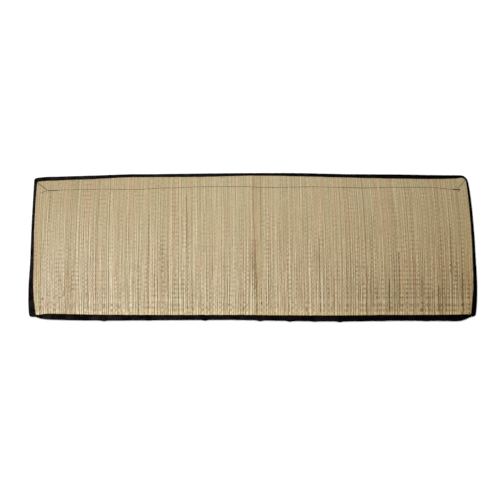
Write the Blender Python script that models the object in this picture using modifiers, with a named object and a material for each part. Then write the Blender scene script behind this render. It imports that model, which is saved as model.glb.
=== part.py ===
"""Korai grass floor mat: one woven grass panel with a sewn fold channel, bound in black cotton.

Units are metres and +Z is up. The origin is on the floor under the middle of the mat. X runs along the
mat, from its left end to its right end, and Y across it, from its near edge to its far edge. The mat lies
flat. Its long edges bow a little and its binding is wider in some places than in others, as hand-sewn
binding is, so each edge has a short table.
"""

import bmesh
import bpy
import numpy as np

# Long edges: place along X, the outline's Y there, width of the binding seen from above
FAR_EDGE = (
    (-0.915, 0.2915, 0.0190),
    (-0.875, 0.2965, 0.0190),
    (-0.800, 0.2990, 0.0180),
    (-0.640, 0.3045, 0.0170),
    (-0.550, 0.3080, 0.0148),
    (-0.390, 0.3100, 0.0150),
    (-0.250, 0.3119, 0.0165),
    (-0.120, 0.3135, 0.0155),
    (0.000, 0.3142, 0.0130),
    (0.200, 0.3140, 0.0160),
    (0.370, 0.3100, 0.0165),
    (0.620, 0.3080, 0.0200),
    (0.790, 0.3050, 0.0180),
    (0.915, 0.3045, 0.0140),
)
NEAR_EDGE = (
    (-0.915, -0.2955, 0.0090),
    (-0.885, -0.2972, 0.0090),
    (-0.871, -0.2992, 0.0098),
    (-0.864, -0.3018, 0.0125),
    (-0.856, -0.3043, 0.0162),
    (-0.840, -0.3068, 0.0212),
    (-0.780, -0.3100, 0.0245),
    (-0.620, -0.3125, 0.0240),
    (-0.370, -0.3112, 0.0215),
    (-0.050, -0.3105, 0.0205),
    (0.190, -0.3150, 0.0235),
    (0.350, -0.3165, 0.0250),
    (0.600, -0.3135, 0.0240),
    (0.790, -0.3148, 0.0258),
    (0.830, -0.3150, 0.0266),
    (0.843, -0.3135, 0.0256),
    (0.853, -0.3108, 0.0236),
    (0.864, -0.3066, 0.0200),
    (0.874, -0.3014, 0.0152),
    (0.884, -0.2975, 0.0115),
    (0.915, -0.2945, 0.0095),
)
# Ends: place along Y, the outline's X there, width of the binding seen from above
LEFT_END = (
    (-0.310, -0.9000, 0.0295),
    (-0.260, -0.9076, 0.0260),
    (-0.190, -0.9120, 0.0210),
    (-0.060, -0.9120, 0.0155),
    (0.110, -0.9150, 0.0125),
    (0.200, -0.9150, 0.0125),
    (0.310, -0.9150, 0.0150),
)
RIGHT_END = (
    (-0.310, 0.8985, 0.0205),
    (-0.260, 0.9080, 0.0215),
    (-0.190, 0.9140, 0.0175),
    (-0.060, 0.9165, 0.0140),
    (0.110, 0.9148, 0.0125),
    (0.200, 0.9108, 0.0115),
    (0.250, 0.9066, 0.0102),
    (0.310, 0.8975, 0.0090),
)
# Corner radius of the outline and of the straw that shows, and where the end binding stops after the turn
FAR_LEFT = {"radius": 0.012, "straw_radius": 0.007, "stop": -0.872, "band": 0.0185}
FAR_RIGHT = {"radius": 0.026, "straw_radius": 0.020, "stop": 0.850, "band": 0.0130}
NEAR_LEFT = {"radius": 0.006, "straw_radius": 0.004, "stop": -0.868, "band": 0.0090}
NEAR_RIGHT = {"radius": 0.008, "straw_radius": 0.006, "stop": 0.862, "band": 0.0100}

# Binding
CLOTH = 0.0010
GAP = 0.0004
RIM_RADIUS = 0.0045
LOWER_FLAP = 0.014
STRIP_GAP = 0.0006
CORNER_Y = 0.280
TIGHTEST_TURN = 0.002

# Panel, measured inwards from the outline
RIM_ZONE = 0.030
BORDER_RUN = 0.015
BORDER_RISE = 0.0021
FIELD_RUN = 0.070
FIELD_RISE = 0.0028
PANEL_RIM = 0.0032
LIFT_END = 0.0155
FLOOR_START = 0.0195
WAVINESS = 0.0004

# Sewn lines on the panel
FRAME_FAR_INSET = 0.059
FRAME_NEAR_Y = -0.2285
FRAME_LEFT_INSET = 0.060
FRAME_RIGHT_INSET = 0.056
FOLD_LINES = (0.001, 0.029)
FOLD_RUN = 0.050
SEAM_DEPTH = 0.0020
SEAM_HALF_WIDTH = 0.0060

# Mesh steps
LONGEST_STEP = 0.045
FIELD_COLUMNS = 9
FIELD_ROWS = 4
END_STEPS = 20
CORNER_STEPS = 5
RETURN_STEPS = 5
RIM_STEPS = 6

STRAW = ("korai_straw", (0.60, 0.48, 0.29, 1.0), 0.62)
COTTON = ("black_cotton", (0.012, 0.011, 0.014, 1.0), 0.88)


def clear_scene():
    """Removes every object, so that the mat stands alone."""
    for old in list(bpy.data.objects):
        bpy.data.objects.remove(old, do_unlink=True)


def along(table, place, column=1):
    """Smooth value of one column of an edge's table at a place along that edge."""
    rows = np.array(table)
    knots, values = rows[:, 0], rows[:, column]
    slopes = np.gradient(values, knots)
    i = np.clip(np.searchsorted(knots, place) - 1, 0, len(knots) - 2)
    step = knots[i + 1] - knots[i]
    t = np.clip((place - knots[i]) / step, 0.0, 1.0)
    start = (1 + 2 * t) * (1 - t) ** 2 * values[i] + t * (1 - t) ** 2 * step * slopes[i]
    end = t * t * (3 - 2 * t) * values[i + 1] + t * t * (t - 1) * step * slopes[i + 1]
    return start + end


def smooth(t):
    """A rise from 0 to 1 with soft ends."""
    t = np.clip(t, 0.0, 1.0)
    return t * t * (3 - 2 * t)


def inset(x, y):
    """How far a place lies inside the mat's outline, whose corners are round."""
    from_end = np.where(x < 0, x - along(LEFT_END, y), along(RIGHT_END, y) - x)
    from_edge = np.where(y < 0, y - along(NEAR_EDGE, x), along(FAR_EDGE, x) - y)
    left = np.where(y < 0, NEAR_LEFT["radius"], FAR_LEFT["radius"])
    right = np.where(y < 0, NEAR_RIGHT["radius"], FAR_RIGHT["radius"])
    radius = np.where(x < 0, left, right)
    rounded = radius - np.hypot(np.maximum(radius - from_end, 0), np.maximum(radius - from_edge, 0))
    nearest = np.minimum(from_end, from_edge)
    return np.where(nearest < radius, rounded, nearest)


def frame_left(y):
    return along(LEFT_END, y) + FRAME_LEFT_INSET


def frame_right(y):
    return along(RIGHT_END, y) - FRAME_RIGHT_INSET


def frame_far(x):
    return along(FAR_EDGE, x) - FRAME_FAR_INSET


def seam(distance):
    """Depth of the furrow that a row of stitches pulls into the panel."""
    return SEAM_DEPTH * np.clip(1 - np.abs(distance) / SEAM_HALF_WIDTH, 0, 1)


def panel_top(x, y):
    """Height of the panel's upper face: a flat rim, a low border, then two crowned halves."""
    across = np.minimum(y - FRAME_NEAR_Y, frame_far(x) - y)
    lengthwise = np.minimum(x - frame_left(y), frame_right(y) - x)
    in_frame = np.minimum(across, lengthwise)
    off_fold = np.maximum(FOLD_LINES[0] - x, x - FOLD_LINES[1])
    depth_inside = inset(x, y)
    rise = BORDER_RISE * smooth((depth_inside - RIM_ZONE) / BORDER_RUN)
    crown = FIELD_RISE * smooth(in_frame / FIELD_RUN) * smooth(off_fold / FOLD_RUN)
    waves = WAVINESS * np.sin(9.1 * x + 2.0 * y) * np.sin(11.3 * y + 3.7 * x) * smooth(in_frame / FIELD_RUN)
    sewn = np.maximum(seam(in_frame), seam(off_fold)) * smooth((depth_inside - RIM_ZONE) / BORDER_RUN)
    return 2 * RIM_RADIUS - CLOTH - GAP + rise + crown + waves - sewn


def panel_bottom(x, y):
    """Height of the panel's lower face: on the floor, but for the rim, which the binding's flap lifts."""
    lifted = 1 - np.clip((inset(x, y) - LIFT_END) / (FLOOR_START - LIFT_END), 0, 1)
    return (CLOTH + GAP) * lifted


def rim_insets():
    border = [RIM_ZONE, RIM_ZONE + BORDER_RUN / 2, RIM_ZONE + BORDER_RUN]
    return [PANEL_RIM, RIM_RADIUS, LIFT_END, FLOOR_START, *border]


def column_places(y):
    """X of each column of the panel's grid at a given Y."""
    left, right = along(LEFT_END, y), along(RIGHT_END, y)
    seam_steps = (-SEAM_HALF_WIDTH, 0, SEAM_HALF_WIDTH, FIELD_RUN / 2, FIELD_RUN)
    fold_steps = (FOLD_RUN, FOLD_RUN / 2, SEAM_HALF_WIDTH, 0)
    first, last = FOLD_LINES
    start = [left + d for d in rim_insets()] + [frame_left(y) + d for d in seam_steps]
    end = [frame_right(y) - d for d in reversed(seam_steps)]
    end += [right - d for d in reversed(rim_insets())]
    fold = [first - d for d in fold_steps] + [(first + last) / 2] + [last + d for d in reversed(fold_steps)]
    left_field = np.linspace(start[-1], fold[0], FIELD_COLUMNS)[1:-1]
    right_field = np.linspace(fold[-1], end[0], FIELD_COLUMNS)[1:-1]
    return [*start, *left_field, *fold, *right_field, *end]


def row_places(x):
    """Y of each row of the panel's grid at a given X."""
    near, far = along(NEAR_EDGE, x), along(FAR_EDGE, x)
    seam_steps = (-SEAM_HALF_WIDTH, 0, SEAM_HALF_WIDTH, FIELD_RUN / 2, FIELD_RUN)
    start = [near + d for d in rim_insets()] + [FRAME_NEAR_Y + d for d in seam_steps]
    end = [frame_far(x) - d for d in reversed(seam_steps)] + [far - d for d in reversed(rim_insets())]
    return [*start, *np.linspace(start[-1], end[0], FIELD_ROWS)[1:-1], *end]


def at_inset(x, y, wanted):
    """The place near (x, y) that lies a given distance inside the outline."""
    step = 1e-4
    for _ in range(4):
        short = wanted - inset(x, y)
        slope_x = (inset(x + step, y) - inset(x - step, y)) / (2 * step)
        slope_y = (inset(x, y + step) - inset(x, y - step)) / (2 * step)
        length = slope_x**2 + slope_y**2
        x, y = x + short * slope_x / length, y + short * slope_y / length
    return x, y


def grid_sheet(columns, rows):
    """An open grid, and for each of its vertices its column and row."""
    sheet = bmesh.new()
    bmesh.ops.create_grid(sheet, x_segments=columns - 1, y_segments=rows - 1, size=0.5)
    cells = []
    for corner in sheet.verts:
        column = round((corner.co.x + 0.5) * (columns - 1))
        row = round((corner.co.y + 0.5) * (rows - 1))
        cells.append((corner, column, row))
    return sheet, cells


def add_piece(name, sheet, finish, collection):
    """Makes a sheet or solid into a named object with its own material."""
    title, colour, roughness = finish
    mesh = bpy.data.meshes.new(name)
    sheet.to_mesh(mesh)
    sheet.free()
    piece = bpy.data.objects.new(name, mesh)
    material = bpy.data.materials.new(f"{name}_{title}")
    material.use_nodes = True
    shader = material.node_tree.nodes["Principled BSDF"]
    shader.inputs["Base Color"].default_value = colour
    shader.inputs["Roughness"].default_value = roughness
    shader.inputs["Metallic"].default_value = 0.0
    mesh.materials.append(material)
    collection.objects.link(piece)
    return piece


def make_panel(collection):
    """The woven panel: a grid pulled to the outline, thickened, with its upper face raised."""
    columns, rows = len(column_places(0.0)), len(row_places(0.0))
    sheet, cells = grid_sheet(columns, rows)
    for corner, column, row in cells:
        x = column_places(row_places(0.0)[row])[column]
        y = row_places(x)[row]
        x = column_places(y)[column]
        if inset(x, y) < PANEL_RIM:
            x, y = at_inset(x, y, PANEL_RIM)
        corner.co = (x, y, panel_bottom(x, y))
    grown = bmesh.ops.extrude_face_region(sheet, geom=sheet.faces[:], use_keep_orig=True)
    for part in grown["geom"]:
        if isinstance(part, bmesh.types.BMVert):
            x, y = part.co.x, part.co.y
            part.co.z = panel_top(x, y)
    rim_height = np.sqrt((RIM_RADIUS - CLOTH - GAP) ** 2 - (RIM_RADIUS - PANEL_RIM) ** 2)
    for corner in sheet.verts:
        if inset(corner.co.x, corner.co.y) < (PANEL_RIM + RIM_RADIUS) / 2:
            upper = corner.co.z > RIM_RADIUS
            corner.co.z = RIM_RADIUS + (rim_height if upper else -rim_height)
    bmesh.ops.recalc_face_normals(sheet, faces=sheet.faces[:])
    return add_piece("korai_panel", sheet, STRAW, collection)


def stepped(places, start, stop):
    """Places from start to stop that take in a table's own places, with no step over the longest."""
    inner = [p for p in places if min(start, stop) < p < max(start, stop)]
    knots = sorted([start, *inner, stop])
    path = [knots[0]]
    for low, high in zip(knots, knots[1:]):
        pieces = max(1, int(np.ceil((high - low) / LONGEST_STEP)))
        path += list(np.linspace(low, high, pieces + 1)[1:])
    return path if start < stop else path[::-1]


def long_path(edge, start, stop, width, inwards):
    """Points at a given width inside a long edge, between two places along it."""
    places = stepped([row[0] for row in edge], start, stop)
    widths = [along(edge, x, 2) if width is None else width for x in places]
    return [(x, along(edge, x) + inwards * w) for x, w in zip(places, widths)]


def seam_y(edge, x, up):
    """Y of a long strip's seam on the straw."""
    return along(edge, x) + up * along(edge, x, 2)


def corner_turn(end, corner, edge, up, inwards, width):
    """Points round one corner, from where the end's strip stops on the long edge to the end's own side.

    Without a width they follow the seam on the straw, which has its own widths and radius.
    """
    if width is None:
        radius, from_edge = corner["straw_radius"], corner["band"]
        from_end = along(end, -up * CORNER_Y, 2)
    else:
        radius = max(corner["radius"] - width, TIGHTEST_TURN)
        from_edge = from_end = width
    corner_x = along(end, -up * CORNER_Y) + inwards * from_end
    centre_y = along(edge, corner_x) + up * (from_edge + radius)
    centre_x = along(end, centre_y) + inwards * (from_end + radius)
    stretch = np.linspace(corner["stop"], centre_x, RETURN_STEPS + 1)[:-1]
    straight = [(x, along(edge, x) + up * from_edge) for x in stretch]
    if width is None:
        seam_ends = (seam_y(edge, corner["stop"], up), centre_y - up * radius)
        straight = list(zip(stretch, np.linspace(*seam_ends, RETURN_STEPS + 1)[:-1]))
    angles = np.linspace(0, np.pi / 2, CORNER_STEPS)
    arc = [(centre_x - inwards * radius * np.sin(a), centre_y - up * radius * np.cos(a)) for a in angles]
    return straight + arc


def end_path(end, near, far, width, inwards):
    """Points at a given width inside one end of the mat, round both of its corners."""
    first = corner_turn(end, near, NEAR_EDGE, 1, inwards, width)
    last = corner_turn(end, far, FAR_EDGE, -1, inwards, width)[::-1]
    run = []
    for y in np.linspace(first[-1][1], last[0][1], END_STEPS + 1)[1:-1]:
        from_end = along(end, y, 2) if width is None else width
        run.append((along(end, y) + inwards * from_end, y))
    path = [*first, *run, *last]
    return path if width is None else [at_inset(*place, width) for place in path]


def make_binding(name, paths, collection):
    """A strip of cloth folded over the mat's edge, from the upper seam round the rim to the lower flap.

    paths holds four lines of points: the upper seam, the rim's centre line, the outline, the lower flap.
    """
    seam_line, centre_line, outline, flap_line = paths
    angles = np.linspace(np.pi / 2, -np.pi / 2, RIM_STEPS + 1)
    sheet, cells = grid_sheet(len(outline), RIM_STEPS + 3)
    for corner, column, row in cells:
        centre, edge = np.array(centre_line[column]), np.array(outline[column])
        if row == 0:
            place, height = seam_line[column], 2 * RIM_RADIUS
        elif row == RIM_STEPS + 2:
            place, height = flap_line[column], 0.0
        else:
            angle = angles[row - 1]
            place = centre + (edge - centre) * np.cos(angle)
            height = RIM_RADIUS * (1 + np.sin(angle))
        corner.co = (place[0], place[1], height)
    upper = max(sheet.faces, key=lambda face: face.calc_center_median().z)
    upper.normal_update()
    if upper.normal.z < 0:
        bmesh.ops.reverse_faces(sheet, faces=sheet.faces[:])
    piece = add_piece(name, sheet, COTTON, collection)
    piece.data.shade_smooth()
    cloth = piece.modifiers.new("cloth_thickness", "SOLIDIFY")
    cloth.thickness = CLOTH
    cloth.offset = -1.0
    cloth.use_even_offset = True
    return piece


def make_bindings(collection):
    """Four strips: the end strips turn the corners, and the long ones fit between them."""
    ends = (
        ("binding_left", LEFT_END, NEAR_LEFT, FAR_LEFT, 1),
        ("binding_right", RIGHT_END, NEAR_RIGHT, FAR_RIGHT, -1),
    )
    for name, end, near, far, inwards in ends:
        paths = [end_path(end, near, far, width, inwards) for width in (None, RIM_RADIUS, 0.0, LOWER_FLAP)]
        make_binding(name, paths, collection)
    edges = (
        ("binding_near", NEAR_EDGE, NEAR_LEFT["stop"], NEAR_RIGHT["stop"], 1),
        ("binding_far", FAR_EDGE, FAR_LEFT["stop"], FAR_RIGHT["stop"], -1),
    )
    for name, edge, start, stop, inwards in edges:
        limits = (start + STRIP_GAP, stop - STRIP_GAP)
        paths = [long_path(edge, *limits, width, inwards) for width in (None, RIM_RADIUS, 0.0, LOWER_FLAP)]
        make_binding(name, paths, collection)


def main():
    clear_scene()
    mat = bpy.data.collections.new("korai_floor_mat")
    bpy.context.scene.collection.children.link(mat)
    make_panel(mat)
    make_bindings(mat)


main()
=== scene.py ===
"""Korai grass floor mat, dressed: woven culms, warp threads, rows of stitches and a black cotton binding.

Laid out as a Blender add-on and run as a script. Units are metres and +Z is up. X runs along the mat, from
its left end to its right end, and Y across it, from its near edge to its far edge.
"""

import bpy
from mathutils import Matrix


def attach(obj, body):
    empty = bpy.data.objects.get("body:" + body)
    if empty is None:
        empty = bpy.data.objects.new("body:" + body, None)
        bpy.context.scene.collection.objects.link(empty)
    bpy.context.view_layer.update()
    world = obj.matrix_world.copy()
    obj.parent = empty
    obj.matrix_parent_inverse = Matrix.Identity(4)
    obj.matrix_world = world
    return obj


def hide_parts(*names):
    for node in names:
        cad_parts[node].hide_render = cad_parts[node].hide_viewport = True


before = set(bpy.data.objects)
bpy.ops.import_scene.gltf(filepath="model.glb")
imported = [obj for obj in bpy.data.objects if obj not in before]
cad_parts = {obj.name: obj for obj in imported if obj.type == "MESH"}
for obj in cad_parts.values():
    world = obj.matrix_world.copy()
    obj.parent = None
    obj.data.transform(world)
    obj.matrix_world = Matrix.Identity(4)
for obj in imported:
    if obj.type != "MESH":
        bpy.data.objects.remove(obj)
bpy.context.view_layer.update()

from types import SimpleNamespace

import bpy
import numpy as np
from bpy.props import FloatProperty, FloatVectorProperty, PointerProperty
from mathutils import Vector

bl_info = {
    "name": "Korai grass floor mat",
    "version": (1, 0, 0),
    "blender": (4, 5, 0),
    "location": "3D View > Sidebar > Korai mat",
    "description": "Weaves, sews and binds a floor mat of korai grass",
    "category": "Add Mesh",
}

BODY = "root"
MM = 0.001
UP = (0.0, 0.0, 1.0)

# Long edges: place along X, the outline's Y there, width of the binding seen from above
FAR_EDGE = (
    (-0.915, 0.2915, 0.0190), (-0.875, 0.2965, 0.0190), (-0.800, 0.2990, 0.0180), (-0.640, 0.3045, 0.0170),
    (-0.550, 0.3080, 0.0148), (-0.390, 0.3100, 0.0150), (-0.250, 0.3119, 0.0165), (-0.120, 0.3135, 0.0155),
    (0.000, 0.3142, 0.0130), (0.200, 0.3140, 0.0160), (0.370, 0.3100, 0.0165), (0.620, 0.3080, 0.0200),
    (0.790, 0.3050, 0.0180), (0.915, 0.3045, 0.0140),
)
NEAR_EDGE = (
    (-0.915, -0.2955, 0.0090), (-0.885, -0.2972, 0.0090), (-0.871, -0.2992, 0.0098),
    (-0.864, -0.3018, 0.0125), (-0.856, -0.3043, 0.0162), (-0.840, -0.3068, 0.0212),
    (-0.780, -0.3100, 0.0245), (-0.620, -0.3125, 0.0240), (-0.370, -0.3112, 0.0215),
    (-0.050, -0.3105, 0.0205), (0.190, -0.3150, 0.0235), (0.350, -0.3165, 0.0250), (0.600, -0.3135, 0.0240),
    (0.790, -0.3148, 0.0258), (0.830, -0.3150, 0.0266), (0.843, -0.3135, 0.0256), (0.853, -0.3108, 0.0236),
    (0.864, -0.3066, 0.0200), (0.874, -0.3014, 0.0152), (0.884, -0.2975, 0.0115), (0.915, -0.2945, 0.0095),
)
# Ends: place along Y, the outline's X there, width of the binding seen from above
LEFT_END = (
    (-0.310, -0.9000, 0.0295), (-0.260, -0.9076, 0.0260), (-0.190, -0.9120, 0.0210),
    (-0.060, -0.9120, 0.0155), (0.110, -0.9150, 0.0125), (0.200, -0.9150, 0.0125), (0.310, -0.9150, 0.0150),
)
RIGHT_END = (
    (-0.310, 0.8985, 0.0205), (-0.260, 0.9080, 0.0215), (-0.190, 0.9140, 0.0175), (-0.060, 0.9165, 0.0140),
    (0.110, 0.9148, 0.0125), (0.200, 0.9108, 0.0115), (0.250, 0.9066, 0.0102), (0.310, 0.8975, 0.0090),
)
# Corner radius of the outline and of the straw that shows, and where the end binding stops after the turn
FAR_LEFT = {"radius": 0.012, "straw_radius": 0.007, "stop": -0.872, "band": 0.0185}
FAR_RIGHT = {"radius": 0.026, "straw_radius": 0.020, "stop": 0.850, "band": 0.0130}
NEAR_LEFT = {"radius": 0.006, "straw_radius": 0.004, "stop": -0.868, "band": 0.0090}
NEAR_RIGHT = {"radius": 0.008, "straw_radius": 0.006, "stop": 0.862, "band": 0.0100}
# Each strip's side of the mat, the corners at its two ends, and the way inwards along its axis
END_STRIPS = {
    "binding_left": (LEFT_END, NEAR_LEFT, FAR_LEFT, 1),
    "binding_right": (RIGHT_END, NEAR_RIGHT, FAR_RIGHT, -1),
}
LONG_STRIPS = {
    "binding_near": (NEAR_EDGE, NEAR_LEFT, NEAR_RIGHT, 1),
    "binding_far": (FAR_EDGE, FAR_LEFT, FAR_RIGHT, -1),
}

# The solids' own sizes, which the dressed pieces keep to
CLOTH = 0.0010
GAP = 0.0004
RIM_RADIUS = 0.0045
INNER_RIM = RIM_RADIUS - CLOTH - GAP
LOWER_FLAP = 0.014
CORNER_Y = 0.280
TIGHTEST_TURN = 0.002
RIM_ZONE = 0.030
BORDER_RUN = 0.015
BORDER_RISE = 0.0021
FIELD_RUN = 0.070
FIELD_RISE = 0.0028
PANEL_RIM = 0.0032
LIFT_END = 0.0155
FLOOR_START = 0.0195
WAVINESS = 0.0004
FRAME_NEAR_Y = -0.2285
FRAME_LEFT_INSET = 0.060
FRAME_RIGHT_INSET = 0.056
FOLD_MIDDLE = 0.0225
FOLD_RUN = 0.050
SEAM_DEPTH = 0.0016
SEAM_HALF_WIDTH = 0.0060
STRIP_JOIN = 0.0001
# How far inside the outline the straw begins to be woven loosely
STRAW_START = 0.008

# Fold lines: place along Y, X of the left line, X of the right line
FOLD_LINES = (
    (-0.300, 0.0192, 0.0338), (-0.150, 0.0165, 0.0338), (-0.020, 0.0105, 0.0340), (0.100, 0.0046, 0.0340),
    (0.310, 0.0042, 0.0340),
)
# Far sewn line: place along X, how far it lies inside the far edge, how dark the painted shade in its
# furrow is
FAR_LINE = (
    (-0.860, 0.0630, 0.6), (-0.820, 0.0620, 0.1), (-0.780, 0.0608, -0.6), (-0.690, 0.0618, -0.2),
    (-0.640, 0.0633, -0.2), (-0.590, 0.0648, 0.1), (-0.540, 0.0676, 0.6), (-0.490, 0.0684, 0.6),
    (-0.440, 0.0668, 0.5), (-0.390, 0.0632, 0.3), (-0.310, 0.0632, 0.4), (-0.240, 0.0602, 0.3),
    (-0.190, 0.0600, 0.6), (-0.090, 0.0608, 0.7), (-0.005, 0.0616, 0.8), (0.030, 0.0646, 0.6),
    (0.070, 0.0652, 0.5), (0.160, 0.0636, 0.5), (0.270, 0.0602, 0.2), (0.370, 0.0604, 0.7),
    (0.420, 0.0612, 1.5), (0.470, 0.0616, 1.1), (0.570, 0.0588, 0.3), (0.620, 0.0582, 0.5),
    (0.670, 0.0568, 1.3), (0.770, 0.0574, 0.5), (0.820, 0.0624, 1.1), (0.870, 0.0648, 2.4),
)

# Way the outermost culms run, past the outline where it draws in: place along Y, X of the left and the
# right ones
CULM_RUN = (
    (-0.310, -0.9145, 0.9185), (-0.150, -0.9145, 0.9185), (-0.060, -0.9145, 0.9175),
    (0.110, -0.9150, 0.9150), (0.200, -0.9150, 0.9110), (0.310, -0.9150, 0.9040),
)
PILED_STEP = 0.03 * MM
# Bend of the culms: place along X, how far their far ends lean to the right, how far both ends do
CULM_BEND = (
    (-0.915, -0.0051, 0.0057), (-0.750, -0.0051, 0.0057), (-0.590, -0.0047, 0.0023),
    (-0.420, -0.0031, 0.0010), (-0.260, -0.0050, 0.0006), (-0.090, -0.0010, -0.0020),
    (FOLD_MIDDLE, 0.0, 0.0), (0.240, -0.0014, -0.0004), (0.400, 0.0004, -0.0026), (0.570, -0.0002, -0.0036),
    (0.730, 0.0036, -0.0022), (0.920, 0.0036, -0.0020),
)
BEND_REACH = 0.235

# Weave: warp threads in the near strip, the field and the far strip; every second one is pulled tighter
WARPS = (7, 51, 5)
# Y of the near edge, the near and far frame lines and the far edge, to start the layout from
FIRST_LINES = (-0.31, FRAME_NEAR_Y, 0.25, 0.31)
SLACK = 0.65
# Culms that pass over and under the warp together, and how often
BUNCHES = ((1, 0.16), (2, 0.62), (3, 0.18), (4, 0.04))
BESIDE_LINE = 0.0042
CREASE_HALF_WIDTH = 0.0022
SHOULDER = 0.27
HALF_SEEDS = {"left": 11, "right": 29}
HALVES_APART = 0.05 * MM
SLIPS = 0.05
CORNER_ROW_STEP = 0.3 * MM
NOISE_CELLS = 61

# Gaps between two culms, opened and darkened with painted shade: place along X, nearest Y, farthest Y,
# strength
DARK_GAPS = (
    (-0.860, -0.20, 0.02, 0.7), (-0.689, -0.28, -0.09, 0.7), (-0.640, -0.10, 0.22, 0.8),
    (-0.603, -0.285, -0.20, 0.9), (-0.516, -0.290, 0.14, 1.2), (-0.427, -0.290, 0.14, 1.2),
    (-0.3240, -0.290, -0.18, 0.8), (-0.2685, -0.290, 0.22, 1.3), (-0.195, -0.16, 0.16, 0.7),
    (-0.1405, -0.270, -0.11, 0.9), (-0.051, -0.25, 0.05, 0.6), (-0.0083, -0.200, -0.02, 0.9),
    (-0.0001, -0.220, -0.02, 0.9), (0.0081, -0.200, 0.00, 0.8), (0.0181, -0.290, -0.12, 1.0),
    (0.075, -0.19, 0.02, 0.8), (0.117, -0.14, 0.08, 0.6), (0.145, -0.29, -0.05, 0.7),
    (0.165, -0.12, 0.14, 0.8), (0.2600, -0.200, -0.14, 1.2), (0.2745, -0.290, 0.05, 1.6),
    (0.3170, -0.070, 0.05, 1.0), (0.4820, -0.230, 0.06, 0.7), (0.5000, -0.290, -0.19, 1.0),
    (0.5540, -0.290, -0.13, 2.4), (0.5985, -0.290, -0.02, 1.9), (0.6240, -0.285, -0.18, 0.9),
    (0.6885, -0.290, -0.12, 1.4), (0.7150, -0.290, -0.19, 1.2), (0.7310, -0.290, -0.18, 1.1),
    (0.7560, -0.290, -0.16, 2.6), (0.7845, -0.290, -0.20, 1.7), (0.8140, -0.140, 0.04, 1.1),
    (0.8535, -0.292, -0.11, 1.6),
)
RANDOM_GAPS = 22
# Culms much paler than those beside them: place along X, nearest Y, farthest Y, how much paler
PALE_CULMS = (
    (-0.8287, -0.20, -0.10, 0.6), (-0.6230, -0.13, -0.02, 0.6), (-0.6020, -0.29, -0.19, 0.6),
    (-0.5780, -0.20, -0.02, 0.5), (-0.5856, 0.13, 0.24, 0.6), (-0.5210, -0.29, -0.18, 0.9),
    (-0.4960, -0.29, -0.10, 0.6), (-0.4427, -0.21, -0.02, 0.7), (-0.4148, -0.21, 0.06, 0.6),
    (-0.2804, -0.29, 0.14, 0.6), (-0.2083, -0.21, -0.10, 0.6), (0.0039, -0.29, -0.10, 0.7),
    (0.0290, -0.21, 0.30, 0.7), (0.0316, -0.29, -0.20, 0.9), (0.1326, -0.21, -0.10, 0.6),
    (0.2635, -0.29, -0.12, 1.0), (0.2818, -0.29, -0.10, 0.9), (0.5210, -0.29, 0.05, 0.9),
    (0.6420, -0.29, -0.18, 0.7), (0.6735, -0.12, -0.02, 0.6), (0.7438, -0.29, -0.10, 0.7),
    (0.8040, -0.29, 0.05, 0.8),
)

# Creases of the turned border at the far corners and beside the fold, sewn and darkened with painted shade:
# start, end, strength
CREASES = (
    ((-0.8985, 0.2700), (-0.8577, 0.2379), 1.0), ((-0.8534, 0.2362), (-0.8842, 0.2261), 0.6),
    ((0.8905, 0.2800), (0.8597, 0.2466), 0.9), ((0.8660, 0.2410), (0.8590, 0.2310), 1.0),
)
# Stretches of the two fold lines darkened with painted shade: start, end, strength
FOLD_SHADOWS = (
    ((0.0042, 0.2980), (0.0046, 0.1000), 0.45), ((0.0046, 0.1000), (0.0105, -0.0200), 0.30),
    ((0.0105, -0.0200), (0.0165, -0.1500), 0.25), ((0.0165, -0.1500), (0.0190, -0.2890), 0.50),
    ((0.0340, 0.2980), (0.0340, 0.0200), 0.35),
)
# Stretches of straw with a tint of their own: start, end, half width, tint
TINTED = (
    ((-0.8840, 0.2000), (-0.8830, -0.1200), 0.0090, (1.03, 0.94, 0.83)),
    ((-0.8700, 0.0600), (-0.8710, -0.2100), 0.0060, (0.94, 1.00, 0.86)),
    ((-0.8780, -0.0300), (-0.8785, -0.2000), 0.0040, (1.00, 0.86, 0.78)),
    ((-0.8640, -0.2000), (-0.8660, -0.2700), 0.0080, (0.88, 0.96, 0.86)),
    ((-0.8520, -0.2205), (-0.8528, -0.2255), 0.0050, (0.50, 0.33, 0.25)),
    ((-0.8430, -0.2420), (-0.8400, -0.2600), 0.0120, (1.00, 0.91, 0.95)),
    ((-0.8850, -0.1500), (-0.8780, -0.2850), 0.0065, (1.24, 1.15, 1.16)),
    ((-0.8540, -0.2500), (-0.8560, -0.2800), 0.0050, (0.98, 0.90, 0.68)),
    ((0.8960, -0.2400), (0.8930, -0.2600), 0.0080, (1.05, 0.84, 0.62)),
    ((0.8890, 0.0600), (0.8900, -0.1800), 0.0060, (0.95, 0.99, 0.82)),
    ((0.8800, -0.0600), (0.8780, -0.1600), 0.0070, (1.02, 0.88, 0.74)),
    ((0.0060, 0.0200), (0.0130, -0.1700), 0.0110, (0.90, 0.80, 0.70)),
    ((0.6060, -0.0370), (0.6060, -0.2290), 0.0030, (1.16, 0.98, 0.88)),
    ((-0.4250, -0.2282), (-0.2750, -0.2282), 0.0022, (1.25, 1.22, 1.16)),
)
# Nearly black spots: X, Y, half width
SPOTS = (
    (0.8076, -0.0850, 0.0020), (0.8068, -0.1080, 0.0020), (0.0363, -0.2414, 0.0030),
)
# Outward puckers of the near binding: place along X, how far it stands out, half its length
PUCKERS = (
    (-0.599, 0.0030, 0.009), (-0.420, 0.0012, 0.012), (-0.192, 0.0032, 0.009), (0.030, 0.0036, 0.010),
    (0.151, 0.0030, 0.011), (0.250, 0.0020, 0.010), (0.352, 0.0030, 0.010), (0.520, 0.0010, 0.016),
    (0.700, 0.0012, 0.015),
)


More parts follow.
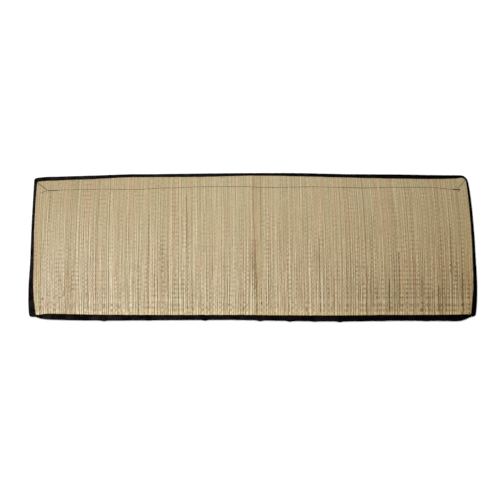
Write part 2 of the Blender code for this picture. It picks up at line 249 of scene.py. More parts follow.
def along(table, place, column=1):
    """Smooth value of one column of an edge's table at a place along that edge."""
    rows = np.array(table)
    knots, values = rows[:, 0], rows[:, column]
    slopes = np.gradient(values, knots)
    i = np.clip(np.searchsorted(knots, place) - 1, 0, len(knots) - 2)
    step = knots[i + 1] - knots[i]
    t = np.clip((place - knots[i]) / step, 0.0, 1.0)
    start = (1 + 2 * t) * (1 - t) ** 2 * values[i] + t * (1 - t) ** 2 * step * slopes[i]
    end = t * t * (3 - 2 * t) * values[i + 1] + t * t * (t - 1) * step * slopes[i + 1]
    return start + end


def smooth(t):
    """A rise from 0 to 1 with soft ends."""
    t = np.clip(t, 0.0, 1.0)
    return t * t * (3 - 2 * t)


def window(place, first, last, soft):
    """1 between two places and 0 outside them, with soft ends."""
    return smooth((place - first) / soft) * smooth((last - place) / soft)


def value_noise(u, v, seed):
    """Soft random values from -1 to 1 over a plane whose cells are 1 wide."""
    table = np.random.default_rng(seed).uniform(-1, 1, (NOISE_CELLS, NOISE_CELLS))
    column, row = np.floor(u).astype(int), np.floor(v).astype(int)
    s, t = smooth(u - column), smooth(v - row)
    left, right = column % NOISE_CELLS, (column + 1) % NOISE_CELLS
    low, high = row % NOISE_CELLS, (row + 1) % NOISE_CELLS
    lower = table[left, low] * (1 - s) + table[right, low] * s
    upper = table[left, high] * (1 - s) + table[right, high] * s
    return lower * (1 - t) + upper * t


def inset(x, y):
    """How far a place lies inside the mat's outline, whose corners are round."""
    from_end = np.where(x < 0, x - along(LEFT_END, y), along(RIGHT_END, y) - x)
    from_edge = np.where(y < 0, y - along(NEAR_EDGE, x), along(FAR_EDGE, x) - y)
    left = np.where(y < 0, NEAR_LEFT["radius"], FAR_LEFT["radius"])
    right = np.where(y < 0, NEAR_RIGHT["radius"], FAR_RIGHT["radius"])
    radius = np.where(x < 0, left, right)
    rounded = radius - np.hypot(np.maximum(radius - from_end, 0), np.maximum(radius - from_edge, 0))
    nearest = np.minimum(from_end, from_edge)
    return np.where(nearest < radius, rounded, nearest)


def frame_left(y):
    return along(LEFT_END, y) + FRAME_LEFT_INSET


def frame_right(y):
    return along(RIGHT_END, y) - FRAME_RIGHT_INSET


def frame_far(x):
    return along(FAR_EDGE, x) - along(FAR_LINE, x)


def seam(distance):
    """Depth of the furrow that a row of stitches pulls into the panel."""
    return SEAM_DEPTH * np.clip(1 - np.abs(distance) / SEAM_HALF_WIDTH, 0, 1)


def panel_top(x, y):
    """Height of the panel's upper face: a flat rim, a low border, then two crowned halves."""
    across = np.minimum(y - FRAME_NEAR_Y, frame_far(x) - y)
    lengthwise = np.minimum(x - frame_left(y), frame_right(y) - x)
    in_frame = np.minimum(across, lengthwise)
    off_fold = np.maximum(along(FOLD_LINES, y) - x, x - along(FOLD_LINES, y, 2))
    depth_inside = inset(x, y)
    rise = BORDER_RISE * smooth((depth_inside - RIM_ZONE) / BORDER_RUN)
    crown = FIELD_RISE * smooth(in_frame / FIELD_RUN) * smooth(off_fold / FOLD_RUN)
    waves = WAVINESS * np.sin(9.1 * x + 2.0 * y) * np.sin(11.3 * y + 3.7 * x) * smooth(in_frame / FIELD_RUN)
    sewn = np.maximum(seam(in_frame), seam(off_fold)) * smooth((depth_inside - RIM_ZONE) / BORDER_RUN)
    return 2 * RIM_RADIUS - CLOTH - GAP + rise + crown + waves - sewn


def panel_bottom(x, y):
    """Height of the panel's lower face: on the floor, but for the rim, which the binding's flap lifts."""
    lifted = 1 - np.clip((inset(x, y) - LIFT_END) / (FLOOR_START - LIFT_END), 0, 1)
    return (CLOTH + GAP) * lifted


def at_inset(x, y, wanted):
    """The place near (x, y) that lies a given distance inside the outline."""
    step = 1e-4
    for _ in range(4):
        short = wanted - inset(x, y)
        slope_x = (inset(x + step, y) - inset(x - step, y)) / (2 * step)
        slope_y = (inset(x, y + step) - inset(x, y - step)) / (2 * step)
        length = slope_x**2 + slope_y**2
        x, y = x + short * slope_x / length, y + short * slope_y / length
    return x, y


# The weave's layout: columns 0::3 are the valleys between two culms, 1::3 and 2::3 are the culms' shoulders

def ring_rows():
    """Rows round one half of the panel: over its upper face from near to far, then back underneath.

    Each row mixes four lines of the mat: near edge, near frame line, far frame line and far edge.
    """
    lines = np.eye(4)
    near, far = lines[0], lines[3]
    rows = [(near, PANEL_RIM, False), (near, RIM_RADIUS, False)]
    for strip, count in enumerate(WARPS):
        shares = np.arange(1, count + 1) / (count + 1)
        rows += [(lines[strip] * (1 - share) + lines[strip + 1] * share, 0.0, True) for share in shares]
        if strip < 2:
            close = (-CREASE_HALF_WIDTH, 0.0, CREASE_HALF_WIDTH) if strip == 1 else (0.0,)
            rows += [(lines[strip + 1], offset, False) for offset in (-BESIDE_LINE, *close, BESIDE_LINE)]
    rows += [(far, -RIM_RADIUS, False), (far, -PANEL_RIM, False)]
    top = len(rows)
    rows += [(far, -offset, False) for offset in (PANEL_RIM, LIFT_END, FLOOR_START)]
    rows += [((near + far) / 2, 0.0, False)]
    rows += [(near, offset, False) for offset in (FLOOR_START, LIFT_END, PANEL_RIM)]
    mix, offset, warp = (np.array(column) for column in zip(*rows))
    order = np.arange(len(rows))
    # The far frame line is the middle one of the five rows between the second and third strips of warps
    return SimpleNamespace(
        mix=mix,
        offset=offset[:, None],
        warp=warp,
        top=top,
        far_line=2 + WARPS[0] + 3 + WARPS[1] + 2,
        from_near=np.where(order < top, order, len(order) - 1 - order)[:, None],
        from_far=np.where(order < top, top - 1 - order, order - top)[:, None],
    )


def unlike_neighbours(values, reach):
    """Takes most of the mean of a few neighbours away from values that stand side by side."""
    return values - 0.8 * np.apply_along_axis(np.convolve, -1, values, np.full(reach, 1 / reach), "same")


def change_along(rng, y, per_metre):
    """Soft random values from -1 to 1 that change along each culm, and differ from culm to culm."""
    steps = rng.uniform(-1, 1, (int(0.7 * per_metre) + 3, y.shape[1]))
    place = (y + 0.35) * per_metre
    low = np.floor(place).astype(int)
    t = smooth(place - low)
    culm = np.arange(y.shape[1])
    return steps[low, culm] * (1 - t) + steps[low + 1, culm] * t


def culm_columns(side, sizes):
    """Columns of one half of the panel, three for each culm: the valley before it and its two shoulders."""
    rng = np.random.default_rng(HALF_SEEDS[side])
    first, last = half_limits(side, np.zeros(1))
    count = int(round(float((last - first)[0]) / sizes.culm_pitch))
    widths = rng.uniform(1 - sizes.culm_unevenness, 1 + sizes.culm_unevenness, count)
    borders = np.concatenate([[0.0], np.cumsum(widths) / widths.sum()])
    own = np.diff(borders)
    shares = np.empty(3 * count + 1)
    shares[0::3] = borders
    shares[1::3] = borders[:-1] + SHOULDER * own
    shares[2::3] = borders[:-1] + (1 - SHOULDER) * own
    choices, odds = zip(*BUNCHES)
    bunch = np.repeat(np.arange(count), rng.choice(choices, count, p=odds))[:count]
    odd = rng.choice((0.0, 0.32, -0.30), count, p=(0.85, 0.08, 0.07))
    shade = 0.10 * unlike_neighbours(rng.uniform(-1, 1, count), 5)[bunch]
    shade += 0.42 * unlike_neighbours(rng.uniform(-1, 1, count), 5)
    return SimpleNamespace(
        count=count,
        bunch=bunch,
        shares=shares,
        height=rng.uniform(-1, 1, count),
        shade=shade,
        odd=odd,
        phase=rng.uniform(0, 2 * np.pi, (2, count + 1)),
        sway=rng.uniform(0.3, 1.0, count + 1),
    )


def half_limits(side, y):
    """X of the first and last column of one half of the panel, were the outline straight."""
    if side == "left":
        return along(CULM_RUN, y), np.full_like(y, FOLD_MIDDLE - HALVES_APART)
    return np.full_like(y, FOLD_MIDDLE + HALVES_APART), along(CULM_RUN, y, 2)


def keep_inside_end(side, x, y):
    """Piles the columns that would leave the outline at the mat's end up along it, under the binding."""
    order = np.arange(x.shape[1])
    if side == "left":
        return np.maximum(x, along(LEFT_END, y) + PANEL_RIM + PILED_STEP * order)
    return np.minimum(x, along(RIGHT_END, y) - PANEL_RIM - PILED_STEP * order[::-1])


def over_borders(own):
    """Values at the culms' borders, carried to the shoulders between them."""
    before, after = own[:, :-1], own[:, 1:]
    wide = np.empty((len(own), 3 * own.shape[1] - 2))
    wide[:, 0::3] = own
    wide[:, 1::3] = before * (1 - SHOULDER) + after * SHOULDER
    wide[:, 2::3] = before * SHOULDER + after * (1 - SHOULDER)
    return wide


def over_culms(own):
    """Values of the culms, carried to their shoulders and, halfway, to the valleys between them."""
    wide = np.zeros((len(own), 3 * own.shape[1] + 1))
    wide[:, 1::3] = wide[:, 2::3] = own
    wide[:, 3:-1:3] = (own[:, :-1] + own[:, 1:]) / 2
    return wide


def culm_wiggle(culms, y, sizes):
    """How far each border sways to the side along its culm."""
    y = y[:, 0::3]
    swing = 0.6 * np.sin(y * 17 + culms.phase[0]) + 0.4 * np.sin(y * 41 + culms.phase[1])
    swing *= culms.sway * sizes.culm_sway
    swing[:, [0, -1]] = 0
    return over_borders(swing)


def keep_round_corners(side, x, y, rows):
    """Draws rows that would leave the outline's round corners back inside them."""
    end, near, far, _ = END_STRIPS[f"binding_{side}"]
    from_end = np.abs(x - along(end, y))
    limits = []
    for corner in (near, far):
        radius = corner["radius"]
        short = np.clip(radius - from_end, 0, None)
        reach = np.sqrt(np.clip((radius - PANEL_RIM) ** 2 - short**2, 0, None))
        limits.append(np.where(from_end < radius, radius - reach, PANEL_RIM))
    lowest = along(NEAR_EDGE, x) + limits[0] + CORNER_ROW_STEP * rows.from_near
    highest = along(FAR_EDGE, x) - limits[1] - CORNER_ROW_STEP * rows.from_far
    return np.clip(y, lowest, highest)


def lay_out_half(side, sizes):
    """Plan positions of one half's columns and rows."""
    rows, culms = ring_rows(), culm_columns(side, sizes)
    y = rows.mix @ np.array(FIRST_LINES)[:, None] + rows.offset
    y = np.repeat(y, 3 * culms.count + 1, axis=1)
    for _ in range(3):
        first, last = half_limits(side, y)
        x = first + culms.shares * (last - first)
        lean = y / BEND_REACH
        x = x + along(CULM_BEND, x) * lean + along(CULM_BEND, x, 2) * lean**2 + culm_wiggle(culms, y, sizes)
        x = keep_inside_end(side, x, y)
        lines = [along(NEAR_EDGE, x), np.full_like(x, FRAME_NEAR_Y), frame_far(x), along(FAR_EDGE, x)]
        y = sum(rows.mix[:, k, None] * line for k, line in enumerate(lines)) + rows.offset
        y = keep_round_corners(side, x, y, rows)
    return rows, culms, x, y


def nearest_place(x, y, place, near, far):
    """Number of the column that comes nearest to a place along X, halfway between two places along Y."""
    row = np.argmin(np.abs(y[: len(y) * 2 // 3].mean(axis=1) - (near + far) / 2))
    return np.argmin(np.abs(x[row] - place))


def gap_strength(side, culms, x, y):
    """How far each border opens into a gap darkened with painted shade, row by row."""
    rng = np.random.default_rng(HALF_SEEDS[side] + 5)
    gaps = list(DARK_GAPS)
    for place in rng.uniform(-0.88, 0.88, RANDOM_GAPS):
        middle, half = rng.uniform(-0.28, 0.2), rng.uniform(0.02, 0.11)
        gaps.append((place, middle - half, middle + half, rng.uniform(0.4, 1.0)))
    strength = np.zeros((len(x), culms.count + 1))
    border_x, border_y = x[:, 0::3], y[:, 0::3]
    for place, near, far, amount in gaps:
        if (place < FOLD_MIDDLE) != (side == "left"):
            continue
        nearest = nearest_place(border_x, border_y, place, near, far)
        open_here = amount * window(border_y[:, nearest], near, far, 0.02)
        strength[:, nearest] = np.maximum(strength[:, nearest], open_here)
    strength[:, [0, -1]] = 0
    return strength


def press_culms(side, cloth, rng):
    """Where a culm passes under a warp thread, how tight the weave is, and how hard each thread pulls."""
    rows, bunch = cloth.rows, cloth.culms.bunch
    thread = np.cumsum(rows.warp)[:, None]
    shape = (len(cloth.x), bunch[-1] + 1)
    slip = np.cumsum(rng.random(shape) < SLIPS, axis=0)[:, bunch]
    cloth.under = ((bunch + thread + slip) % 2 == 1) & rows.warp[:, None]
    patches = value_noise(bunch * 0.83, cloth.crest_y * 8, HALF_SEEDS[side])
    cloth.tight = np.clip(0.45 + 0.9 * patches, 0.0, 1.3) + rng.uniform(-0.25, 0.35, shape)[:, bunch]
    cloth.pull = np.where(thread % 2 == 0, 1.0, SLACK) * rows.warp[:, None]


def culm_heights(cloth, rng, sizes):
    """Height of every point: the panel's two faces, with each culm up and down over the warp threads."""
    x, y, depth = cloth.x, cloth.y, cloth.depth
    rim = np.sqrt(np.clip(INNER_RIM**2 - np.clip(RIM_RADIUS - depth, 0, None) ** 2, 0, None))
    upper = np.where(depth < RIM_RADIUS, RIM_RADIUS + rim, panel_top(x, y))
    lower = np.where(depth < RIM_RADIUS, RIM_RADIUS - rim, panel_bottom(x, y))
    raised = np.where(cloth.under, -sizes.culm_down, sizes.culm_up) * cloth.pull * (0.5 + 0.5 * cloth.tight)
    unlevel = cloth.culms.height + change_along(rng, cloth.crest_y, 9)
    relief = np.zeros_like(x)
    relief[:, 1::3] = relief[:, 2::3] = raised + sizes.culm_unlevel * unlevel + sizes.culm_crest
    relief[:, 0::3] = -sizes.valley_depth - cloth.gaps * sizes.gap_depth
    calm = 0.30 + 0.70 * smooth((depth - STRAW_START) / STRAW_START)
    underneath = np.where(np.arange(x.shape[1]) % 3 == 0, sizes.valley_depth, 0.0) * (depth > LIFT_END)
    return np.where(cloth.is_top, upper + relief * calm, lower + underneath)


def weave_marks(cloth):
    """Painted shade in the hollows between two culms and in the far sewn furrow, and where a culm is pushed
    down.
    """
    x, gaps, pull = cloth.x, cloth.gaps, cloth.pull
    # Darkening of the culms that a warp pushes down, from dirt and painted shade
    near_right = smooth((x[:, 1::3] - 0.15) / 0.5) * smooth((-0.02 - cloth.crest_y) / 0.15)
    in_step = (0.10 + 0.42 * near_right) * (pull == 1.0)
    pressed_dirt_and_shade = np.where(cloth.under, 1.0, -0.5) * pull * cloth.tight + in_step
    dashes = np.ones_like(gaps)
    dashes[:, 1:-1] = 0.25 + 1.1 * np.clip(np.maximum(pressed_dirt_and_shade[:, :-1], pressed_dirt_and_shade[:, 1:]), 0, 1.2)
    dashes = np.maximum(dashes, 0.25 + 0.35 * np.clip(gaps - 1, 0, 1.2))
    # Painted shade: dark in the valleys, darker at open gaps, and over the shoulders beside wide gaps
    hollow_shade = np.zeros_like(x)
    hollow_shade[:, 0::3] = 1 + gaps * dashes
    wide = 0.85 * np.clip(gaps * dashes - 0.45, 0, 1.2)
    hollow_shade[:, 1::3] += wide[:, :-1]
    hollow_shade[:, 2::3] += wide[:, 1:]
    # Painted shade along the furrow of the far sewn line
    far_line = cloth.rows.far_line
    sewn = window(x[far_line], FAR_LINE[0][0], FAR_LINE[-1][0], 0.002)
    furrow_shade = sewn * (0.62 + 0.7 * along(FAR_LINE, x[far_line], 2))
    hollow_shade[far_line] = np.maximum(hollow_shade[far_line], furrow_shade)
    return hollow_shade, over_culms(pressed_dirt_and_shade) * cloth.is_top


def culm_shades(side, cloth, rng):
    """How pale or dark each culm is along its length."""
    slow, quick = (change_along(rng, cloth.crest_y, per_metre) for per_metre in (7, 30))
    odd = cloth.culms.odd * smooth(0.7 + 1.4 * slow)
    own = cloth.culms.shade + odd + unlike_neighbours(0.30 * slow + 0.22 * quick, 5)
    middle_x = (cloth.x[:, 1::3] + cloth.x[:, 2::3]) / 2
    for place, near, far, amount in PALE_CULMS:
        if (place < FOLD_MIDDLE) == (side == "left"):
            column = nearest_place(middle_x, cloth.crest_y, place, near, far)
            paler = amount * window(cloth.crest_y[:, column], near, far, 0.03)
            own[:, column] = np.maximum(own[:, column], paler)
    return over_culms(own)


def weave(side, sizes):
    """One half of the panel as rows and columns of points, with each culm over and under the warps."""
    rows, culms, x, y = lay_out_half(side, sizes)
    gaps = gap_strength(side, culms, x, y)
    x[:, 1::3] += gaps[:, :-1] * sizes.gap_half_width
    x[:, 2::3] -= gaps[:, 1:] * sizes.gap_half_width
    cloth = SimpleNamespace(rows=rows, culms=culms, gaps=gaps, x=x, y=y, crest_y=y[:, 1::3])
    cloth.depth = inset(x, y)
    cloth.is_top = np.arange(len(x))[:, None] < rows.top
    rng = np.random.default_rng(HALF_SEEDS[side] + 9)
    press_culms(side, cloth, rng)
    cloth.z = culm_heights(cloth, rng, sizes)
    hollow_shade, dip = weave_marks(cloth)
    cloth.values = {"culm_shade": culm_shades(side, cloth, rng), "hollow_shade": hollow_shade, "dip": dip}
    return cloth


# Mesh building

def new_piece(name, points, faces, finish):
    """A named object from points and faces, riding on the mat's body, with its finish."""
    mesh = bpy.data.meshes.new(name)
    mesh.from_pydata(np.asarray(points, float).tolist(), [], faces)
    mesh.materials.append(finish)
    mesh.validate()
    mesh.update()
    piece = bpy.data.objects.new(name, mesh)
    bpy.context.scene.collection.objects.link(piece)
    mesh.shade_smooth()
    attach(piece, BODY)
    return piece


def add_values(piece, name, values):
    """Stores one number for each point of a piece."""
    attribute = piece.data.attributes.new(name, "FLOAT", "POINT")
    attribute.data.foreach_set("value", np.asarray(values, np.float32).ravel())


def ring_faces(rings, points):
    """Quads between rings of points that close on themselves, and a cap on each of the two ends."""
    ring, point = np.meshgrid(np.arange(rings - 1) * points, np.arange(points), indexing="ij")
    after = (point + 1) % points
    quads = np.stack([ring + point, ring + points + point, ring + points + after, ring + after], axis=-1)
    first_cap = list(range(points))
    last_cap = [(rings - 1) * points + i for i in reversed(first_cap)]
    return quads.reshape(-1, 4).tolist() + [first_cap, last_cap]


def unit(vectors):
    """The same directions, one long."""
    return vectors / np.linalg.norm(vectors, axis=-1, keepdims=True)


def tube(path, radius, sides):
    """Points of a closed tube along a path, ring after ring; radius may change along it."""
    path = np.asarray(path, float)
    tangent = unit(np.gradient(path, axis=0))
    across = unit(np.cross(tangent, UP))
    normal = np.cross(across, tangent)
    angles = np.pi / 2 + 2 * np.pi * np.arange(sides) / sides
    radius = np.broadcast_to(radius, len(path))[:, None, None]
    ring = np.cos(angles)[:, None] * across[:, None] + np.sin(angles)[:, None] * normal[:, None]
    return (path[:, None] + radius * ring).reshape(-1, 3)


def join_tubes(paths, radii, sides):
    """One set of points and faces for many tubes."""
    own_faces = {count: ring_faces(count, sides) for count in set(map(len, paths))}
    points, faces, start = [], [], 0
    for path, radius in zip(paths, radii):
        points.append(tube(path, radius, sides))
        faces += [[start + i for i in face] for face in own_faces[len(path)]]
        start += len(path) * sides
    return np.concatenate(points), faces


# Shader building

def sign(operation, swapped=False):
    """A method that adds the node for a sign between a field and another field or a number."""
    if swapped:
        return lambda self, other: calc(operation, other, self)
    return lambda self, other: calc(operation, self, other)


class Field:
    """A value, vector or colour of a node tree."""

    def __init__(self, socket):
        self.socket = socket
        self.tree = socket.id_data

    __add__, __radd__ = sign("ADD"), sign("ADD", swapped=True)
    __sub__, __rsub__ = sign("SUBTRACT"), sign("SUBTRACT", swapped=True)
    __truediv__, __rtruediv__ = sign("DIVIDE"), sign("DIVIDE", swapped=True)
    __mul__, __pow__ = sign("MULTIPLY"), sign("POWER")

    def clamped(self):
        """The sum just made, kept between 0 and 1."""
        self.socket.node.use_clamp = True
        return self

    def remap(self, low, high, new_low=0.0, new_high=1.0):
        """The value carried from one range to another, and kept inside it."""
        return add_node(self.tree, "MapRange", dict(enumerate((self, low, high, new_low, new_high))))

    def ramp(self, *stops):
        """The colour at this value between (place, colour) stops."""
        colour = add_node(self.tree, "ValToRGB", {0: self})
        elements = colour.socket.node.color_ramp.elements
        elements[0].position, elements[-1].position = stops[0][0], stops[-1][0]
        for place, _ in stops[1:-1]:
            elements.new(place)
        for element, (_, stop) in zip(elements, stops):
            element.color = opaque(stop)
        return colour

    def tinted(self, tint, share=1.0):
        """This colour times a tint."""
        return mix(share, self, tint, "MULTIPLY")

    def toward(self, colour, share):
        """This colour with a share of another one."""
        return mix(share, self, colour)


def opaque(colour):
    return (*colour[:3], 1.0)


def set_socket(socket, value):
    """Links a field to a socket, or sets the socket to a constant."""
    if isinstance(value, Field):
        value.tree.links.new(value.socket, socket)
    else:
        socket.default_value = opaque(value) if socket.type == "RGBA" else value


def add_node(tree, kind, inputs=None, out=0, **properties):
    """Adds a shader node and gives one of its outputs, or a list of them where several are named."""
    made = tree.nodes.new(f"ShaderNode{kind}")
    for name, value in properties.items():
        setattr(made, name, value)
    for key, value in (inputs or {}).items():
        set_socket(made.inputs[key], value)
    if isinstance(out, tuple):
        return [Field(made.outputs[name]) for name in out]
    return Field(made.outputs[out])


def tree_of(*values):
    """The node tree of the first field among some values."""
    return next(value.tree for value in values if isinstance(value, Field))


def is_vector(value):
    return value.socket.type == "VECTOR" if isinstance(value, Field) else isinstance(value, tuple)


def calc(operation, *values, out=0):
    """One sum of a Math node, or of a Vector Math node where a vector takes part."""
    kind = "Math"
    if any(is_vector(value) for value in values):
        kind = "VectorMath"
        values = [(value,) * 3 if isinstance(value, float) else value for value in values]
    return add_node(tree_of(*values), kind, dict(enumerate(values)), out, operation=operation)


def mix(share, first, second, way="MIX"):
    """Mixes two colours."""
    inputs = {0: share, 6: first, 7: second}
    return add_node(tree_of(share, first, second), "Mix", inputs, 2, data_type="RGBA", blend_type=way)


def mat_place(tree):
    """The place on the mat, in metres."""
    return add_node(tree, "TexCoord", out="Object")


def axes(place, names):
    """Some of a place's coordinates."""
    return add_node(place.tree, "SeparateXYZ", {0: place}, tuple(names))


def noise(tree, scale, detail=2.0, roughness=0.5):
    """Noise over the mat, at one scale or at one for each axis."""
    inputs = {"Vector": mat_place(tree) * scale, "Scale": 1.0, "Detail": detail, "Roughness": roughness}
    return add_node(tree, "TexNoise", inputs)


def stored(tree, name):
    """A number stored on the mesh."""
    return add_node(tree, "Attribute", out="Fac", attribute_name=name)


# Node groups that several materials share, or that one uses many times

# Tints of the straw: darker and browner towards the right end, yellower in the far left corner
RIGHT_WASH = (-0.10, 0.92)
WASH = {
    "Right End": (0.695, 0.635, 0.535),
    "Near Left": (1.11, 1.12, 1.19),
    "Near Right": (1.01, 0.965, 0.90),
    "Far Left": (0.86, 0.82, 0.76),
    "Far Right": (1.07, 1.11, 1.12),
}


def fibre_streaks(tree, stretch, contrast):
    """Fine streaks of a plant or yarn fibre, long one way and narrow the other."""
    height = noise(tree, stretch, 3.0, 0.6)
    return {"Brightness": 1.0 + (height - 0.5) * contrast * 2.0, "Height": height}


def twisted_ply(tree, turns, depth):
    """The slanting plies of a spun thread."""
    slant = calc("DOT_PRODUCT", mat_place(tree), turns, out="Value")
    height = calc("SINE", slant + noise(tree, 900.0) * 3.0) * 0.5 + 0.5
    return {"Brightness": 1.0 - (1.0 - height) * depth, "Height": height}


def dust_and_lint(tree, amount, speck_size):
    """Where a little pale dust and lint has settled."""
    specks = noise(tree, 1.0 / speck_size).remap(0.60, 0.72)
    haze = noise(tree, 14.0, 3.0).remap(0.35, 0.75, 0.0, 0.5)
    return {"Dust": ((specks + haze) * amount).clamped()}


def stretch_of_line(tree, start, end, half_width):
    """A mask that is 1 along a line on the mat and fades to 0 on both sides of it."""
    off = mat_place(tree) * (1.0, 1.0, 0.0) - start
    run = end - start
    dot, whole = (calc("DOT_PRODUCT", first, run, out="Value") for first in (off, run))
    away = calc("DISTANCE", off, run * (dot / whole).clamped(), out="Value")
    return {"Mask": (1.0 - away / half_width).clamped()}


def broad_wash(tree, base, right_end, near_left, near_right, far_left, far_right):
    """The slow change of the straw's colour over the mat, from a tint for each corner and the right end."""
    x, y = axes(mat_place(tree), "XY")
    lengthwise = x.remap(-0.86, 0.86)
    corners = mix(lengthwise, near_left, near_right).toward(
        mix(lengthwise, far_left, far_right), y.remap(-0.27, 0.30) ** 1.5)
    return {"Color": base.tinted(right_end, x.remap(*RIGHT_WASH)).tinted(corners)}


GROUPS = {
    "fibre_streaks": (fibre_streaks, {"Stretch": (1500.0, 22.0, 300.0), "Contrast": 0.2}),
    "twisted_ply": (twisted_ply, {"Turns": (2600.0, 1500.0, 900.0), "Depth": 0.4}),
    "dust_and_lint": (dust_and_lint, {"Amount": 0.1, "Speck Size": 0.001}),
    "stretch_of_line": (
        stretch_of_line, {"Start": (0.0,) * 3, "End": (1.0, 0.0, 0.0), "Half Width": 0.001},
    ),
    "broad_wash": (broad_wash, {title: (1.0,) * 4 for title in ("Base", *WASH)}),
}
SOCKET_KINDS = {"VALUE": "Float", "VECTOR": "Vector", "RGBA": "Color"}


def build_group(name, make, inputs):
    """Builds a shader node group with named sockets, the kind of each from its value."""
    tree = bpy.data.node_groups.new(name, "ShaderNodeTree")
    for title, value in inputs.items():
        kind = {3: "Vector", 4: "Color"}.get(np.size(value), "Float")
        socket = tree.interface.new_socket(name=title, in_out="INPUT", socket_type=f"NodeSocket{kind}")
        socket.default_value = value
    given = tree.nodes.new("NodeGroupInput").outputs
    results = make(tree, *(Field(given[title]) for title in inputs))
    for title, made in results.items():
        kind = SOCKET_KINDS[made.socket.type]
        tree.interface.new_socket(name=title, in_out="OUTPUT", socket_type=f"NodeSocket{kind}")
    ends = tree.nodes.new("NodeGroupOutput").inputs
    for title, made in results.items():
        set_socket(ends[title], made)


def use_group(tree, name, inputs, out=0):
    """Places a node group, built at its first use, with this material's own values."""
    if name not in bpy.data.node_groups:
        build_group(name, *GROUPS[name])
    return add_node(tree, "Group", inputs, out, node_tree=bpy.data.node_groups[name])


def line_mask(tree, start, end, half_width, strength=1.0):
    """The mask of a stretch between two plan places, at some strength and kept under 1."""
    inputs = {"Start": (*start, 0.0), "End": (*end, 0.0), "Half Width": half_width}
    return (use_group(tree, "stretch_of_line", inputs) * strength).clamped()


def new_finish(name):
    """A named material: the material, its node tree and its shader node."""
    finish = bpy.data.materials.new(name)
    finish.use_nodes = True
    return finish, finish.node_tree, finish.node_tree.nodes["Principled BSDF"]


def feed(shader, bump=None, **sockets):
    """Links or sets a shader's sockets, with _ for a space; a bump is its height, strength and depth."""
    if bump:
        height, strength, depth = bump
        inputs = {"Strength": strength, "Distance": depth, "Height": height}
        sockets["Normal"] = add_node(height.tree, "Bump", inputs)
    for key, value in sockets.items():
        set_socket(shader.inputs[key.replace("_", " ")], value)


# Finishes

# Noises in the culms' shade: scale for each axis, detail, weight
SHADE_NOISES = (
    ((95.0, 2.2, 0.0), 2.0, 0.16), ((150.0, 36.0, 0.0), 2.0, 0.40), ((330.0, 140.0, 0.0), 1.5, 0.60),
)
# Slow and fine changes of the culms' hue: place in the noise, tint
HUES = ((0.28, (1.07, 0.97, 0.92)), (0.50, (1.01, 1.0, 0.97)), (0.72, (0.95, 1.01, 0.92)))
FINE_HUES = ((0.35, (1.03, 0.99, 0.99)), (0.65, (0.97, 1.01, 1.01)))
# How much more red, green and blue a culm under a warp loses at the mat's right end, in its dirt and
# painted shade
BROWNER = (-0.10, 0.04, 0.38)
# The fold channel's middle, as a stretch: start, end, half width
CHANNEL = ((0.026, -0.3), (0.018, 0.31), 0.022)
CREASE_MARK = 2.3 * MM
SPOT_REACH = 3 * MM
# Where the straw beside the near binding turns pale with a painted highlight
RIM_EDGES = (-0.262, -0.283)


